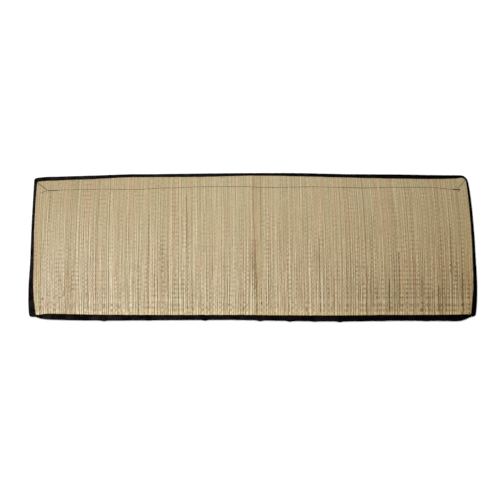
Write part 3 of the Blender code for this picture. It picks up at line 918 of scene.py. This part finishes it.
def straw_finish(colours):
    """Dried korai culms: each with its own shade, fine fibres, flecks, and painted shade in the hollows
    between them.
    """
    finish, tree, shader = new_finish("korai_culms")
    x, y = axes(mat_place(tree), "XY")
    nearness, rightness = y.remap(-0.32, 0.30, 1.0, 0.0), x.remap(*RIGHT_WASH)
    near_right = nearness * rightness

    spread = stored(tree, "culm_shade")
    for scale, detail, weight in SHADE_NOISES:
        spread = spread + (noise(tree, scale, detail) - 0.5) * weight
    contrast = 0.50 + nearness ** 2.2 * 0.85
    batch = noise(tree, (17.0, 0.9, 0.0)) - 0.5
    tone = 0.595 + spread * contrast + batch * 0.10
    base = tone.ramp((0.0, colours.straw_dark), (0.28, colours.straw_brown), (0.55, colours.straw_middle),
                     (0.80, colours.straw_pale), (1.0, colours.straw_palest))
    base = base.tinted(noise(tree, (38.0, 2.4, 0.0), 1.5).ramp(*HUES), nearness.remap(0.3, 1.0, 0.9, 0.35))
    base = base.tinted(noise(tree, (240.0, 90.0, 0.0), 1.5).ramp(*FINE_HUES))
    # Painted highlight on the straw beside the near binding
    base = base.tinted(colours.rim_highlight, y.remap(*RIM_EDGES))
    fibres = {"Stretch": (2100.0, 26.0, 0.0), "Contrast": 0.16}
    streaks, fibre_height = use_group(tree, "fibre_streaks", fibres, ("Brightness", "Height"))
    base = base.tinted(streaks)

    # Nodes and bruises of the grass, brown and short, more of them near and to the right
    fleck_limit = 0.730 - near_right * 0.065
    flecks = (noise(tree, (430.0, 120.0, 0.0), 1.5) - fleck_limit).remap(0.0, 0.03, 0.0, 0.75)
    base = base.toward(colours.bruise, flecks)
    for spot_x, spot_y, half in SPOTS:
        mask = line_mask(tree, (spot_x, spot_y - SPOT_REACH), (spot_x, spot_y + SPOT_REACH), half, 2.5)
        base = base.toward(colours.mildew, mask)

    # Straw between the two fold lines is yellower, and painted shade darkens the creases and the sewn fold
    # lines
    base = base.tinted(colours.channel_tint, line_mask(tree, *CHANNEL).remap(0.30, 0.55, 0.0, 0.5))
    for start, end, half, tint in TINTED:
        base = base.tinted(tint, line_mask(tree, start, end, half, 1.7))
    for start, end, strength in CREASES + FOLD_SHADOWS:
        base = base.toward(colours.crease_shade, line_mask(tree, start, end, CREASE_MARK, strength))
    dust = use_group(tree, "dust_and_lint", {"Amount": 0.10, "Speck Size": 0.002})
    base = base.toward(colours.dust, dust)

    # Culms that a warp pushes down are darker and browner, from dirt and painted shade, and painted shade
    # darkens the hollows between two culms
    pressed_dirt_and_shade = stored(tree, "dip") * (nearness.remap(0.25, 1.0, 0.10, 0.42) + near_right * 0.08)
    left_over = [1.0 - pressed_dirt_and_shade * (1.0 + rightness * more) for more in BROWNER]
    base = base.tinted(add_node(tree, "CombineColor", dict(enumerate(left_over))))
    hollow_shade = stored(tree, "hollow_shade")
    shadow = calc("MINIMUM", hollow_shade, 1.0) ** 1.5 * 0.55
    base = base.toward(colours.hollow_shade, (shadow + (hollow_shade - 1.0).clamped() * 0.9).clamped())
    base = use_group(tree, "broad_wash", {"Base": base, **WASH})
    roughness = fibre_height.remap(0.3, 0.7, 0.52, 0.70)
    bump = (fibre_height, 0.5, 0.3 * MM)
    feed(shader, bump, Base_Color=base, Roughness=roughness, Specular_IOR_Level=0.35)
    return finish


def feed_thread(tree, shader, colour, turns, depth, **sockets):
    """Gives a spun thread its plies over a colour."""
    ply, height = use_group(tree, "twisted_ply", {"Turns": turns, "Depth": depth}, ("Brightness", "Height"))
    feed(shader, (height, 0.6, 0.2 * MM), Base_Color=ply.tinted(colour), **sockets)


def warp_finish(colours):
    """Spun warp thread, nearly the colour of the straw."""
    finish, tree, shader = new_finish("warp_thread")
    patches = noise(tree, (60.0, 40.0, 0.0), 3.0).ramp((0.3, colours.warp_dark), (0.7, colours.warp))
    base = use_group(tree, "broad_wash", {"Base": patches, **WASH})
    feed_thread(tree, shader, base, (4200.0, 2600.0, 900.0), 0.35, Roughness=0.85, Specular_IOR_Level=0.2)
    return finish


def stitch_finish(colours):
    """Dark brown sewing thread on the straw."""
    finish, tree, shader = new_finish("sewing_thread")
    streaks = use_group(tree, "fibre_streaks", {"Stretch": (900.0,) * 3, "Contrast": 0.3})
    base, turns = streaks.tinted(colours.stitch), (3400.0, 3400.0, 900.0)
    feed_thread(tree, shader, base, turns, 0.5, Roughness=0.8, Specular_IOR_Level=0.2)
    return finish


def black_thread_finish(colours):
    """Black sewing thread along the binding."""
    finish, tree, shader = new_finish("black_thread")
    turns = (3600.0, 3600.0, 1200.0)
    feed_thread(tree, shader, colours.thread, turns, 0.5, Roughness=0.6, Specular_IOR_Level=0.25)
    return finish


CLOTH_MAP = "cloth_run"
COTTON_THREAD_PITCH = 0.6 * MM
# Where along X the binding's black begins and ceases to be greyed by wear and by a painted highlight, and
# over which heights
COTTON_WORN_AND_LIT_RUN = (-0.60, 0.95)
RUBBED_AND_LIT_HEIGHTS = (6.5 * MM, 8.8 * MM)


def cotton_finish(colours):
    """Plain-woven black cotton with a little lint, slightly greyer on top and to the left, from wear and a
    painted highlight.
    """
    finish, tree, shader = new_finish("black_cotton_cloth")
    cells = add_node(tree, "UVMap", uv_map=CLOTH_MAP) * (2 * np.pi / COTTON_THREAD_PITCH)
    weft, warp = (calc("SINE", cell) for cell in axes(cells, "XY"))
    crossing = weft * warp * 0.5 + 0.5
    slubs = use_group(tree, "fibre_streaks", {"Stretch": (160.0, 700.0, 300.0), "Contrast": 0.5})
    x, z = axes(mat_place(tree), "XZ")
    worn_and_lit_left = x.remap(*COTTON_WORN_AND_LIT_RUN, 1.0, 0.0)
    rub = noise(tree, (30.0, 30.0, 60.0), 4.0, 0.6).remap(0.38, 0.70, 0.12, 1.0)
    # Wear and a painted highlight grey the black on top of the binding, more towards the left end
    base = mix(rub * (worn_and_lit_left * z.remap(*RUBBED_AND_LIT_HEIGHTS)), colours.cotton, colours.cotton_rubbed_and_lit)
    base = base.tinted(crossing.remap(0.0, 1.0, 0.7, 1.15)).tinted(slubs)
    dust = use_group(tree, "dust_and_lint", {"Amount": 0.004, "Speck Size": 0.0012})
    base = base.toward(colours.dust, dust * worn_and_lit_left.remap(0.0, 1.0, 0.1, 1.0))
    feed(shader, (crossing, 0.5, 0.25 * MM), Base_Color=base, Roughness=0.92, Specular_IOR_Level=0.005,
         Sheen_Weight=0.001, Sheen_Roughness=0.6, Sheen_Tint=(0.55, 0.50, 0.60))
    return finish


def floor_finish():
    """Plain pale floor with the faintest unevenness."""
    finish, tree, shader = new_finish("pale_floor")
    base = noise(tree, 3.0).ramp((0.3, (0.90,) * 3), (0.7, (0.92,) * 3))
    feed(shader, Base_Color=base, Roughness=0.8, Specular_IOR_Level=0.2)
    return finish


# Panel

def make_panel_half(side, sizes, finish):
    """One half of the woven panel, a closed body that meets the other half in the fold channel."""
    cloth = weave(side, sizes)
    rows, columns = cloth.x.shape
    points = np.stack([cloth.x, cloth.y, cloth.z], axis=-1).transpose(1, 0, 2).reshape(-1, 3)
    piece = new_piece(f"korai_panel_{side}", points, ring_faces(columns, rows), finish)
    piece.data.set_sharp_from_angle(angle=np.radians(58))
    for name, values in cloth.values.items():
        add_values(piece, name, values.T)
    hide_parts("korai_panel")
    return piece


def warp_path(cloth, row, sizes):
    """A warp thread's way over the culms that it presses down and under the ones between them."""
    place = np.stack([cloth.x[row], cloth.y[row], cloth.z[row]], axis=-1)
    path = (place[1::3] + place[2::3]) / 2
    path[:, 2] += np.where(cloth.under[row], 0.6, -3.0) * sizes.warp_radius
    path = path[cloth.depth[row, 1::3] > STRAW_START]
    path[:, 1] += sizes.warp_radius * 0.6 * value_noise(path[:, 0] * 60, np.full(len(path), row * 3.7), 8)
    return path


def make_warp_threads(side, sizes, finish):
    """All the warp threads of one half."""
    cloth = weave(side, sizes)
    paths = [warp_path(cloth, row, sizes) for row in np.flatnonzero(cloth.rows.warp)]
    points, faces = join_tubes(paths, [sizes.warp_radius] * len(paths), 3)
    return new_piece(f"warp_threads_{side}", points, faces, finish)


SLIVERS = 190
SLIVER_RINGS = 7


def make_slivers(finish):
    """Thin splinters of culm that stand a little off the weave, some dark and some pale."""
    rng = np.random.default_rng(77)
    paths, radii, shades = [], [], []
    for _ in range(SLIVERS):
        x, middle = rng.uniform(-0.87, 0.87), rng.uniform(-0.27, 0.22)
        length, dark = rng.uniform(0.02, 0.13), rng.random() < 0.45
        share = np.linspace(-1, 1, SLIVER_RINGS)
        y = middle + length / 2 * share
        drift = x + rng.uniform(-0.002, 0.002) * share
        inside = (y > FRAME_NEAR_Y - 0.045) & (y < frame_far(drift) - 0.004)
        if inside.sum() < 3:
            continue
        drift, y = drift[inside], y[inside]
        lift = 0.25 * MM * np.sin(np.linspace(0, np.pi, len(y)))
        paths.append(np.stack([drift, y, panel_top(drift, y) + 0.05 * MM + lift], axis=-1))
        radii.append(rng.uniform(0.3, 0.55) * MM * np.sin(np.linspace(0.35, np.pi - 0.35, len(y))))
        shades.append(rng.uniform(-0.5, -0.3) if dark else rng.uniform(0.2, 0.45))
    points, faces = join_tubes(paths, radii, 4)
    piece = new_piece("culm_slivers", points, faces, finish)
    add_values(piece, "culm_shade", np.repeat(shades, [4 * len(path) for path in paths]))
    return piece


# Sewing

STITCH_STEPS = np.array([0.0, 0.18, 0.5, 0.82, 1.0])
STITCH_LIFTS = np.array([-1.0, 0.55, 0.85, 0.55, -1.0])
STITCH_GIRTHS = np.array([0.6, 1.0, 1.0, 1.0, 0.6])


def run_of(points):
    """Distance along a line of points."""
    steps = np.linalg.norm(np.diff(points, axis=0), axis=1)
    return np.concatenate([[0.0], np.cumsum(steps)])


def stitch_paths(line, height, pitch, length, radius, rng, skip=0.0):
    """Paths of the stitches along a line of plan points."""
    run = run_of(line)
    starts = np.arange(0.2 * pitch, run[-1] - length, pitch)
    starts = starts + rng.uniform(-0.1, 0.1, len(starts)) * pitch
    starts = starts[rng.random(len(starts)) >= skip]
    along_line = starts[:, None] + length * STITCH_STEPS
    x, y = (np.interp(along_line, run, line[:, k]) for k in (0, 1))
    tilt = rng.uniform(-0.35, 0.35, len(starts))[:, None] * radius * (STITCH_STEPS * 2 - 1)
    z = height(x, y) + radius * STITCH_LIFTS
    return list(np.stack([x + tilt, y + tilt, z], axis=-1))


def frame_lines():
    """The sewn frame and the two fold lines, as plan points by name."""
    far_x, near_x = np.linspace(-0.856, 0.866, 400), np.linspace(-0.850, 0.855, 400)
    y, full_y = np.linspace(FRAME_NEAR_Y - 0.055, 0.236, 200), np.linspace(-0.288, 0.298, 200)
    far_y = full_y[full_y > -0.03]
    places = {
        "far": (far_x, frame_far(far_x)),
        "near": (near_x, np.full_like(near_x, FRAME_NEAR_Y)),
        "left": (frame_left(y), y),
        "right": (frame_right(y), y),
        "fold_left": (along(FOLD_LINES, full_y), full_y),
        "fold_right": (along(FOLD_LINES, far_y, 2), far_y),
    }
    return {name: np.stack(place, axis=-1) for name, place in places.items()}


# Each line's stitches: the share that doesn't show, then thickness and length against the usual ones
LINE_STITCHES = {
    "far": (0.04, 1.45, 1.15),
    "near": (0.80, 0.7, 1.0),
    "left": (0.90, 0.7, 1.0),
    "right": (0.80, 0.7, 1.0),
    "fold_left": (0.40, 0.7, 1.0),
    "fold_right": (0.30, 0.7, 1.0),
}
# Places where the far line is sewn twice: start and end along X, spread in millimetres, thickness
BACK_TACKS = ((-0.854, -0.810, 0.8, 1.6), (0.836, 0.868, 1.1, 2.3))


def make_stitches(sizes, finish):
    """The rows of dark thread on the panel: its frame, the fold lines and the mitres at the far corners."""
    rng = np.random.default_rng(41)
    lines = frame_lines()
    paths, radii = [], []

    def sew(line, skip, thickness, length):
        radius, length = sizes.stitch_radius * thickness, sizes.stitch_length * length
        made = stitch_paths(line, panel_top, sizes.stitch_pitch, length, radius, rng, skip)
        paths.extend(made)
        radii.extend([radius * STITCH_GIRTHS] * len(made))

    for name, look in LINE_STITCHES.items():
        sew(lines[name], *look)
    for start, end, spread, thickness in BACK_TACKS:
        x = np.linspace(start, end, 60)
        for shift in (-spread * MM, spread * MM):
            sew(np.stack([x, frame_far(x) + shift], axis=-1), 0.0, thickness, 1.25)
    for start, end, _ in CREASES:
        sew(np.linspace(start, end, 40), 0.0, 1.2, 1.15)
    points, faces = join_tubes(paths, radii, 6)
    return new_piece("frame_stitches", points, faces, finish)


# Binding

RETURN_STATIONS = 10
CORNER_STATIONS = 15
END_STATIONS = 230
LONG_STATIONS = 690
ARC_STEPS = 10
# Length of cloth from one point of the strip's cross-section to the next, on average
PROFILE_STEP = 1.6 * MM


def seam_y(edge, x, up):
    """Y of a long strip's seam on the straw."""
    return along(edge, x) + up * along(edge, x, 2)


def corner_turn(end, corner, edge, up, inwards, width):
    """Points round one corner, from where the end's strip stops on the long edge to the end's own side.

    Without a width they follow the seam on the straw, which has its own widths and radius.
    """
    if width is None:
        radius, from_edge = corner["straw_radius"], corner["band"]
        from_end = along(end, -up * CORNER_Y, 2)
    else:
        radius = max(corner["radius"] - width, TIGHTEST_TURN)
        from_edge = from_end = width
    corner_x = along(end, -up * CORNER_Y) + inwards * from_end
    centre_y = along(edge, corner_x) + up * (from_edge + radius)
    centre_x = along(end, centre_y) + inwards * (from_end + radius)
    stretch = np.linspace(corner["stop"], centre_x, RETURN_STATIONS + 1)[:-1]
    straight_part = [(x, along(edge, x) + up * from_edge) for x in stretch]
    if width is None:
        seam_ends = (seam_y(edge, corner["stop"], up), centre_y - up * radius)
        straight_part = list(zip(stretch, np.linspace(*seam_ends, RETURN_STATIONS + 1)[:-1]))
    angles = np.linspace(0, np.pi / 2, CORNER_STATIONS)
    arc = [(centre_x - inwards * radius * np.sin(a), centre_y - up * radius * np.cos(a)) for a in angles]
    return straight_part + arc


def end_path(end, near, far, width, inwards):
    """Points at a given width inside one end of the mat, round both of its corners."""
    first = corner_turn(end, near, NEAR_EDGE, 1, inwards, width)
    last = corner_turn(end, far, FAR_EDGE, -1, inwards, width)[::-1]
    run = []
    for y in np.linspace(first[-1][1], last[0][1], END_STATIONS + 1)[1:-1]:
        from_end = along(end, y, 2) if width is None else width
        run.append((along(end, y) + inwards * from_end, y))
    path = [*first, *run, *last]
    return np.array(path if width is None else [at_inset(*place, width) for place in path])


def long_path(edge, left, right, width, inwards):
    """Points at a given width inside a long edge, between the strips that turn its two corners."""
    x = np.linspace(left["stop"] + STRIP_JOIN, right["stop"] - STRIP_JOIN, LONG_STATIONS)
    widths = along(edge, x, 2) if width is None else width
    return np.stack([x, along(edge, x) + inwards * widths], axis=-1)


def strip_profile(sizes):
    """The folded strip's cross-section, a closed ring of points.

    Each row gives the weights of four lines (seam on the straw, rim centre, outline, lower flap's end), a
    distance from the seam line towards the rim, a height, and how far crumples move it sideways and up.
    """
    rows = []
    hem, thick, top = sizes.hem, sizes.cloth_thickness, 2 * RIM_RADIUS
    seam_line, centre, flap = np.eye(4)[[0, 1, 3]]

    def turn_rim(radius, angles):
        for angle in angles:
            out, up = np.cos(angle) * radius / RIM_RADIUS, np.sin(angle)
            rows.append([0, 1 - out, out, 0, 0.0, RIM_RADIUS + radius * up, out, max(up, 0)])

    turned_hem = ((0.5 * MM, -1.35), (0.0, -0.75), (0.35 * MM, -0.1), (0.5 * hem, 0.12), (hem, -0.2))
    for distance, rise in turned_hem:
        rows.append([*seam_line, distance, top + rise * MM, 0.0, 1.0])
    for share, height in ((0.3, 0.1 * MM), (0.65, 0.12 * MM)):
        mix = seam_line * (1 - share) + centre * share
        rows.append([*mix, hem * (1 - share), top + height, 0.0, 1.0])
    turn_rim(RIM_RADIUS, np.linspace(np.pi / 2, -np.pi / 2, ARC_STEPS + 1))
    rows.append([*(centre * 0.5 + flap * 0.5), 0.0, 0.0, 0.0, 0.0])
    rows.append([*flap, 0.0, 0.0, 0.0, 0.0])
    rows.append([*flap, 0.0, thick, 0.0, 0.0])
    turn_rim(RIM_RADIUS - thick, np.linspace(-np.pi / 2, np.pi / 2, ARC_STEPS // 2 + 1))
    rows.append([*seam_line, hem, top - thick - 0.1 * MM, 0.0, 1.0])
    return np.array(rows)


def fold_strip(name, lines, seed, sizes):
    """One strip folded over the edge, ring after ring, with its puckers and its drag lines."""
    seam_line, centre, outline, flap = lines
    profile = strip_profile(sizes)
    run = run_of(outline)[:, None]
    girth = np.arange(len(profile))[None, :] * PROFILE_STEP
    inward, outward = unit(centre - seam_line), unit(outline - centre)
    seam_line = seam_line - inward * (0.5 * MM * value_noise(run * 38, run * 0 + seed, seed))
    plan = np.einsum("pk,ksd->spd", profile[:, :4], np.stack([seam_line, centre, outline, flap]))
    plan = plan + profile[None, :, 4, None] * inward[:, None]
    drags = value_noise(run * 110 + girth * 60, girth * 90, seed + 1)
    swell = value_noise(run * 22, run * 0 + 2.5, seed + 2)
    stitch_pull = np.cos(2 * np.pi * run / sizes.binding_pitch)
    near_hem = np.exp(-((girth - 3.0 * MM) / (2.5 * MM)) ** 2)
    crumple = sizes.crumple * (drags + 0.7 * swell) + 0.10 * MM * stitch_pull * near_hem
    sideways = crumple + 0.5 * sizes.crumple * swell
    if name == "binding_near":
        for place, reach, half in PUCKERS:
            bump = reach * np.exp(-(((outline[:, 0] - place) / half) ** 2))[:, None]
            sideways = sideways + bump
            crumple = crumple + 0.25 * bump
    plan = plan + (profile[:, 6] * sideways)[..., None] * outward[:, None]
    height = np.maximum(profile[:, 5] + profile[:, 7] * crumple, 0.0)
    points = np.concatenate([plan, height[..., None]], axis=-1)
    anticlockwise = np.cross(outline[1] - outline[0], outward[0]) < 0
    return points[::-1] if anticlockwise else points, run


def make_binding(name, seed, sizes, finish):
    """One folded strip, with a map of the cloth laid flat."""
    points, run = fold_strip(name, binding_lines(name), seed, sizes)
    rings, around = points.shape[:2]
    faces = ring_faces(rings, around)
    piece = new_piece(f"{name}_cloth", points.reshape(-1, 3), faces, finish)
    add_cloth_map(piece, run, around)
    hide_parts(name)
    return piece


def add_cloth_map(piece, run, around):
    """The strip laid flat, in metres: along it and round its section."""
    layer = piece.data.uv_layers.new(name=CLOTH_MAP)
    corner_point = np.empty(len(piece.data.loops), int)
    piece.data.loops.foreach_get("vertex_index", corner_point)
    ring, point = corner_point // around, corner_point % around
    spots = np.stack([run[ring, 0], point * PROFILE_STEP], axis=-1)
    layer.data.foreach_set("uv", spots.astype(np.float32).ravel())


def binding_lines(name):
    """The four plan lines of a strip: seam on the straw, rim centre, outline, end of the lower flap."""
    path, strips = (end_path, END_STRIPS) if name in END_STRIPS else (long_path, LONG_STRIPS)
    side, first, last, inwards = strips[name]
    return [path(side, first, last, width, inwards) for width in (None, RIM_RADIUS, 0.0, LOWER_FLAP)]


BINDINGS = {"binding_near": 5, "binding_far": 17, "binding_left": 31, "binding_right": 47}


def cloth_top(x, y):
    """Height of the strips' upper face at their hems."""
    return np.full_like(x, 2 * RIM_RADIUS - 0.15 * MM)


def make_binding_stitches(sizes, finish):
    """Black stitches along the hem of each strip."""
    rng = np.random.default_rng(53)
    paths, radii = [], []
    for name in BINDINGS:
        seam_line, centre, _, _ = binding_lines(name)
        line = seam_line + unit(centre - seam_line) * sizes.hem
        length = 0.66 * sizes.binding_pitch
        made = stitch_paths(line, cloth_top, sizes.binding_pitch, length, sizes.binding_thread, rng)
        paths += made
        radii += [sizes.binding_thread * STITCH_GIRTHS] * len(made)
    points, faces = join_tubes(paths, radii, 6)
    return new_piece("binding_stitches", points, faces, finish)


# Settings

def length_setting(name, description, default, high=0.1):
    return FloatProperty(
        name=name, description=description, default=default, min=0.00001, max=high, precision=5,
        unit="LENGTH", subtype="DISTANCE",
    )


def colour_setting(name, description, default):
    return FloatVectorProperty(
        name=name, description=description, default=(*default, 1.0), size=4,
        min=0.0, max=2.0, subtype="COLOR",
    )


class KoraiMatSizes(bpy.types.PropertyGroup):
    """Sizes of the weave, the sewing and the binding."""

    culm_pitch: length_setting("Culm pitch", "Mean distance from one culm to the next", 0.00232)
    culm_unevenness: FloatProperty(
        name="Culm unevenness", description="How much the culms' widths differ, as a share of the pitch",
        default=0.30, min=0.0, max=0.6, subtype="FACTOR",
    )
    culm_sway: length_setting("Culm sway", "How far a culm wanders to the side", 0.00026)
    culm_crest: length_setting("Culm crest", "Height of a culm over the panel's mean face", 0.00012)
    culm_up: length_setting("Culm rise", "Rise of a culm that passes over a warp thread", 0.00022)
    culm_down: length_setting("Culm dip", "Dip of a culm that a warp thread presses down", 0.00042)
    culm_unlevel: length_setting("Culm unlevelness", "How much the culms' heights differ", 0.00014)
    valley_depth: length_setting("Valley depth", "Depth of the valley between two culms", 0.00055)
    gap_depth: length_setting("Gap depth", "Extra depth of a dark gap", 0.0009)
    gap_half_width: length_setting("Gap half width", "How far a dark gap pushes the culms apart", 0.00040)
    warp_radius: length_setting("Warp radius", "Radius of a warp thread", 0.00042)
    stitch_pitch: length_setting("Stitch pitch", "Distance between the panel's stitches", 0.0065)
    stitch_length: length_setting("Stitch length", "Length of a stitch that shows on the panel", 0.0050)
    stitch_radius: length_setting("Stitch radius", "Radius of the sewing thread on the panel", 0.00045)
    binding_pitch: length_setting("Binding stitch pitch", "Distance between the binding's stitches", 0.0048)
    binding_thread: length_setting("Binding thread", "Radius of the thread in the binding", 0.00027)
    hem: length_setting("Hem", "Width of the binding's turned hem, to its stitches", 0.0022)
    cloth_thickness: length_setting("Cloth thickness", "Thickness of the folded binding", 0.0009)
    crumple: length_setting("Crumple", "Height of the small drag lines in the binding", 0.00028)
    wide_strip: length_setting("Wide strip", "Width that the near binding is cut to", 0.044)
    narrow_strip: length_setting("Narrow strip", "Width that the other bindings are cut to", 0.037)


class KoraiMatColours(bpy.types.PropertyGroup):
    """Colours of the straw, the threads and the binding."""

    straw_dark: colour_setting("Straw, dark", "Darkest culms", (0.160, 0.105, 0.042))
    straw_brown: colour_setting("Straw, brown", "Brown culms", (0.292, 0.215, 0.108))
    straw_middle: colour_setting("Straw, middle", "Most culms", (0.415, 0.335, 0.200))
    straw_pale: colour_setting("Straw, pale", "Pale culms", (0.515, 0.435, 0.285))
    straw_palest: colour_setting("Straw, palest", "Palest culms", (0.630, 0.560, 0.405))
    bruise: colour_setting("Bruise", "Short brown flecks and nodes", (0.150, 0.080, 0.035))
    mildew: colour_setting("Spot", "The few nearly black spots", (0.020, 0.014, 0.009))
    # Painted shade in the mitre creases and along the fold lines
    crease_shade: colour_setting("Crease", "Dirt in the mitre creases", (0.035, 0.024, 0.013))
    # Painted shade in the hollows between two culms
    hollow_shade: colour_setting("Hollow", "Between two culms", (0.078, 0.048, 0.019))
    channel_tint: colour_setting("Channel tint", "Tint of straw between the fold lines", (0.98, 0.90, 0.78))
    # Painted highlight on the straw beside the near binding
    rim_highlight: colour_setting("Rim tint", "Tint of the straw beside the near binding", (1.22, 1.20, 1.08))
    dust: colour_setting("Dust", "Pale dust and lint", (0.55, 0.50, 0.42))
    warp: colour_setting("Warp", "Warp thread", (0.500, 0.420, 0.280))
    warp_dark: colour_setting("Warp, dark", "Soiled warp thread", (0.330, 0.260, 0.150))
    stitch: colour_setting("Stitch", "Sewing thread on the panel", (0.030, 0.022, 0.016))
    cotton: colour_setting("Cotton", "Black binding", (0.0007, 0.0004, 0.0005))
    # Wear and painted highlight: the greyer black on top of the binding, more towards the left end
    cotton_rubbed_and_lit: colour_setting("Cotton, rubbed", "Binding where it is rubbed", (0.0155, 0.0112, 0.0110))
    thread: colour_setting("Black thread", "Sewing thread in the binding", (0.0040, 0.0032, 0.0042))


class KoraiMatStage(bpy.types.PropertyGroup):
    """Camera and light."""

    elevation: FloatProperty(
        name="Camera elevation", description="Angle of the view over the floor",
        default=np.radians(76), min=0.0, max=np.pi / 2, unit="ROTATION", subtype="ANGLE",
    )
    distance: length_setting("Camera distance", "From the camera to the point it looks at", 3.83, high=20.0)
    lens: FloatProperty(
        name="Lens", description="Focal length in millimetres on a 36 mm sensor",
        default=66.96, min=10.0, max=300.0, unit="CAMERA",
    )
    key_power: FloatProperty(
        name="Key light", description="Power of the large soft light on the left",
        default=22.0, min=0.0, max=2000.0, unit="POWER",
    )
    fill_strength: FloatProperty(
        name="Fill", description="Strength of the even light all round", default=1.205, min=0.0, max=5.0,
    )


class KORAIMAT_OT_panel(bpy.types.Operator):
    """Weave the two halves of the korai panel"""

    bl_idname = "korai_mat.panel"
    bl_label = "Weave panel"

    def execute(self, context):
        finish = straw_finish(context.scene.korai_mat_colours)
        for side in HALF_SEEDS:
            make_panel_half(side, context.scene.korai_mat_sizes, finish)
        make_slivers(finish)
        return {"FINISHED"}


class KORAIMAT_OT_warp(bpy.types.Operator):
    """Run the warp threads over and under the culms"""

    bl_idname = "korai_mat.warp"
    bl_label = "Run warp threads"

    def execute(self, context):
        finish = warp_finish(context.scene.korai_mat_colours)
        for side in HALF_SEEDS:
            make_warp_threads(side, context.scene.korai_mat_sizes, finish)
        return {"FINISHED"}


class KORAIMAT_OT_stitches(bpy.types.Operator):
    """Sew the frame, the fold lines and the mitred corners"""

    bl_idname = "korai_mat.stitches"
    bl_label = "Sew panel"

    def execute(self, context):
        make_stitches(context.scene.korai_mat_sizes, stitch_finish(context.scene.korai_mat_colours))
        return {"FINISHED"}


class KORAIMAT_OT_binding(bpy.types.Operator):
    """Fold the four binding strips over the edge and sew them down"""

    bl_idname = "korai_mat.binding"
    bl_label = "Bind edge"

    def execute(self, context):
        sizes, colours = context.scene.korai_mat_sizes, context.scene.korai_mat_colours
        finish = cotton_finish(colours)
        for name, seed in BINDINGS.items():
            make_binding(name, seed, sizes, finish)
        make_binding_stitches(sizes, black_thread_finish(colours))
        return {"FINISHED"}


class KORAIMAT_OT_stage(bpy.types.Operator):
    """Set up the pale floor, the soft light and the camera"""

    bl_idname = "korai_mat.stage"
    bl_label = "Set stage"

    def execute(self, context):
        settings = context.scene.korai_mat_stage
        make_floor()
        make_light(context.scene, settings)
        make_camera(context.scene, settings)
        return {"FINISHED"}


class KORAIMAT_PT_sidebar(bpy.types.Panel):
    """Lists the mat's steps and settings"""

    bl_idname = "KORAIMAT_PT_sidebar"
    bl_label = "Korai mat"
    bl_space_type = "VIEW_3D"
    bl_region_type = "UI"
    bl_category = "Korai mat"

    def draw(self, context):
        layout = self.layout
        for step in STEPS:
            layout.operator(step.bl_idname)
        for title, group in SETTINGS.items():
            box = layout.box()
            for name in group.__annotations__:
                box.prop(getattr(context.scene, title), name)


STEPS = (KORAIMAT_OT_panel, KORAIMAT_OT_warp, KORAIMAT_OT_stitches, KORAIMAT_OT_binding, KORAIMAT_OT_stage)
SETTINGS = {
    "korai_mat_sizes": KoraiMatSizes,
    "korai_mat_colours": KoraiMatColours,
    "korai_mat_stage": KoraiMatStage,
}
CLASSES = (*SETTINGS.values(), *STEPS, KORAIMAT_PT_sidebar)
AIM_POINT = Vector((-0.0103, -0.0177, 0.0))
LAMP_PLACE = Vector((-0.8, 0.9, 2.4))
LAMP_AIM = Vector((-0.3, 0.0, 0.0))
LAMP_SIZE = 1.6
LAMP_COLOUR = (1.0, 0.98, 0.95)
FLOOR_SIZE = 12.0
FLOOR_Z = -0.2 * MM


def make_floor():
    """A plain pale floor under the mat."""
    bpy.ops.mesh.primitive_plane_add(size=FLOOR_SIZE, location=(0.0, 0.0, FLOOR_Z))
    floor = bpy.context.object
    floor.name = "floor"
    floor.data.materials.append(floor_finish())


def make_light(scene, settings):
    """Even light all round and one large soft light high on the left."""
    world = bpy.data.worlds.new("soft_studio")
    scene.world = world
    world.use_nodes = True
    background = world.node_tree.nodes["Background"]
    background.inputs["Color"].default_value = (1.0, 1.0, 1.0, 1.0)
    background.inputs["Strength"].default_value = settings.fill_strength
    key = bpy.data.lights.new("key_light", "AREA")
    key.energy = settings.key_power
    key.size = LAMP_SIZE
    key.color = LAMP_COLOUR
    lamp = bpy.data.objects.new("key_light", key)
    lamp.location = LAMP_PLACE
    lamp.rotation_euler = (LAMP_AIM - LAMP_PLACE).to_track_quat("-Z", "Y").to_euler()
    scene.collection.objects.link(lamp)
    scene.view_settings.view_transform = "Standard"


def make_camera(scene, settings):
    """The camera, over the near side of the mat."""
    camera = bpy.data.objects.new("camera", bpy.data.cameras.new("camera"))
    camera.data.sensor_width = 36.0
    camera.data.lens = settings.lens
    back = Vector((0.0, -np.cos(settings.elevation), np.sin(settings.elevation)))
    camera.location = AIM_POINT + back * settings.distance
    camera.rotation_euler = (-back).to_track_quat("-Z", "Y").to_euler()
    scene.collection.objects.link(camera)
    scene.camera = camera


def register():
    for cls in CLASSES:
        bpy.utils.register_class(cls)
    for title, group in SETTINGS.items():
        setattr(bpy.types.Scene, title, PointerProperty(type=group))


def unregister():
    for title in SETTINGS:
        delattr(bpy.types.Scene, title)
    for cls in reversed(CLASSES):
        bpy.utils.unregister_class(cls)


def main():
    register()
    for step in STEPS:
        category, name = step.bl_idname.split(".")
        getattr(getattr(bpy.ops, category), name)()


if __name__ == "__main__":
    main()
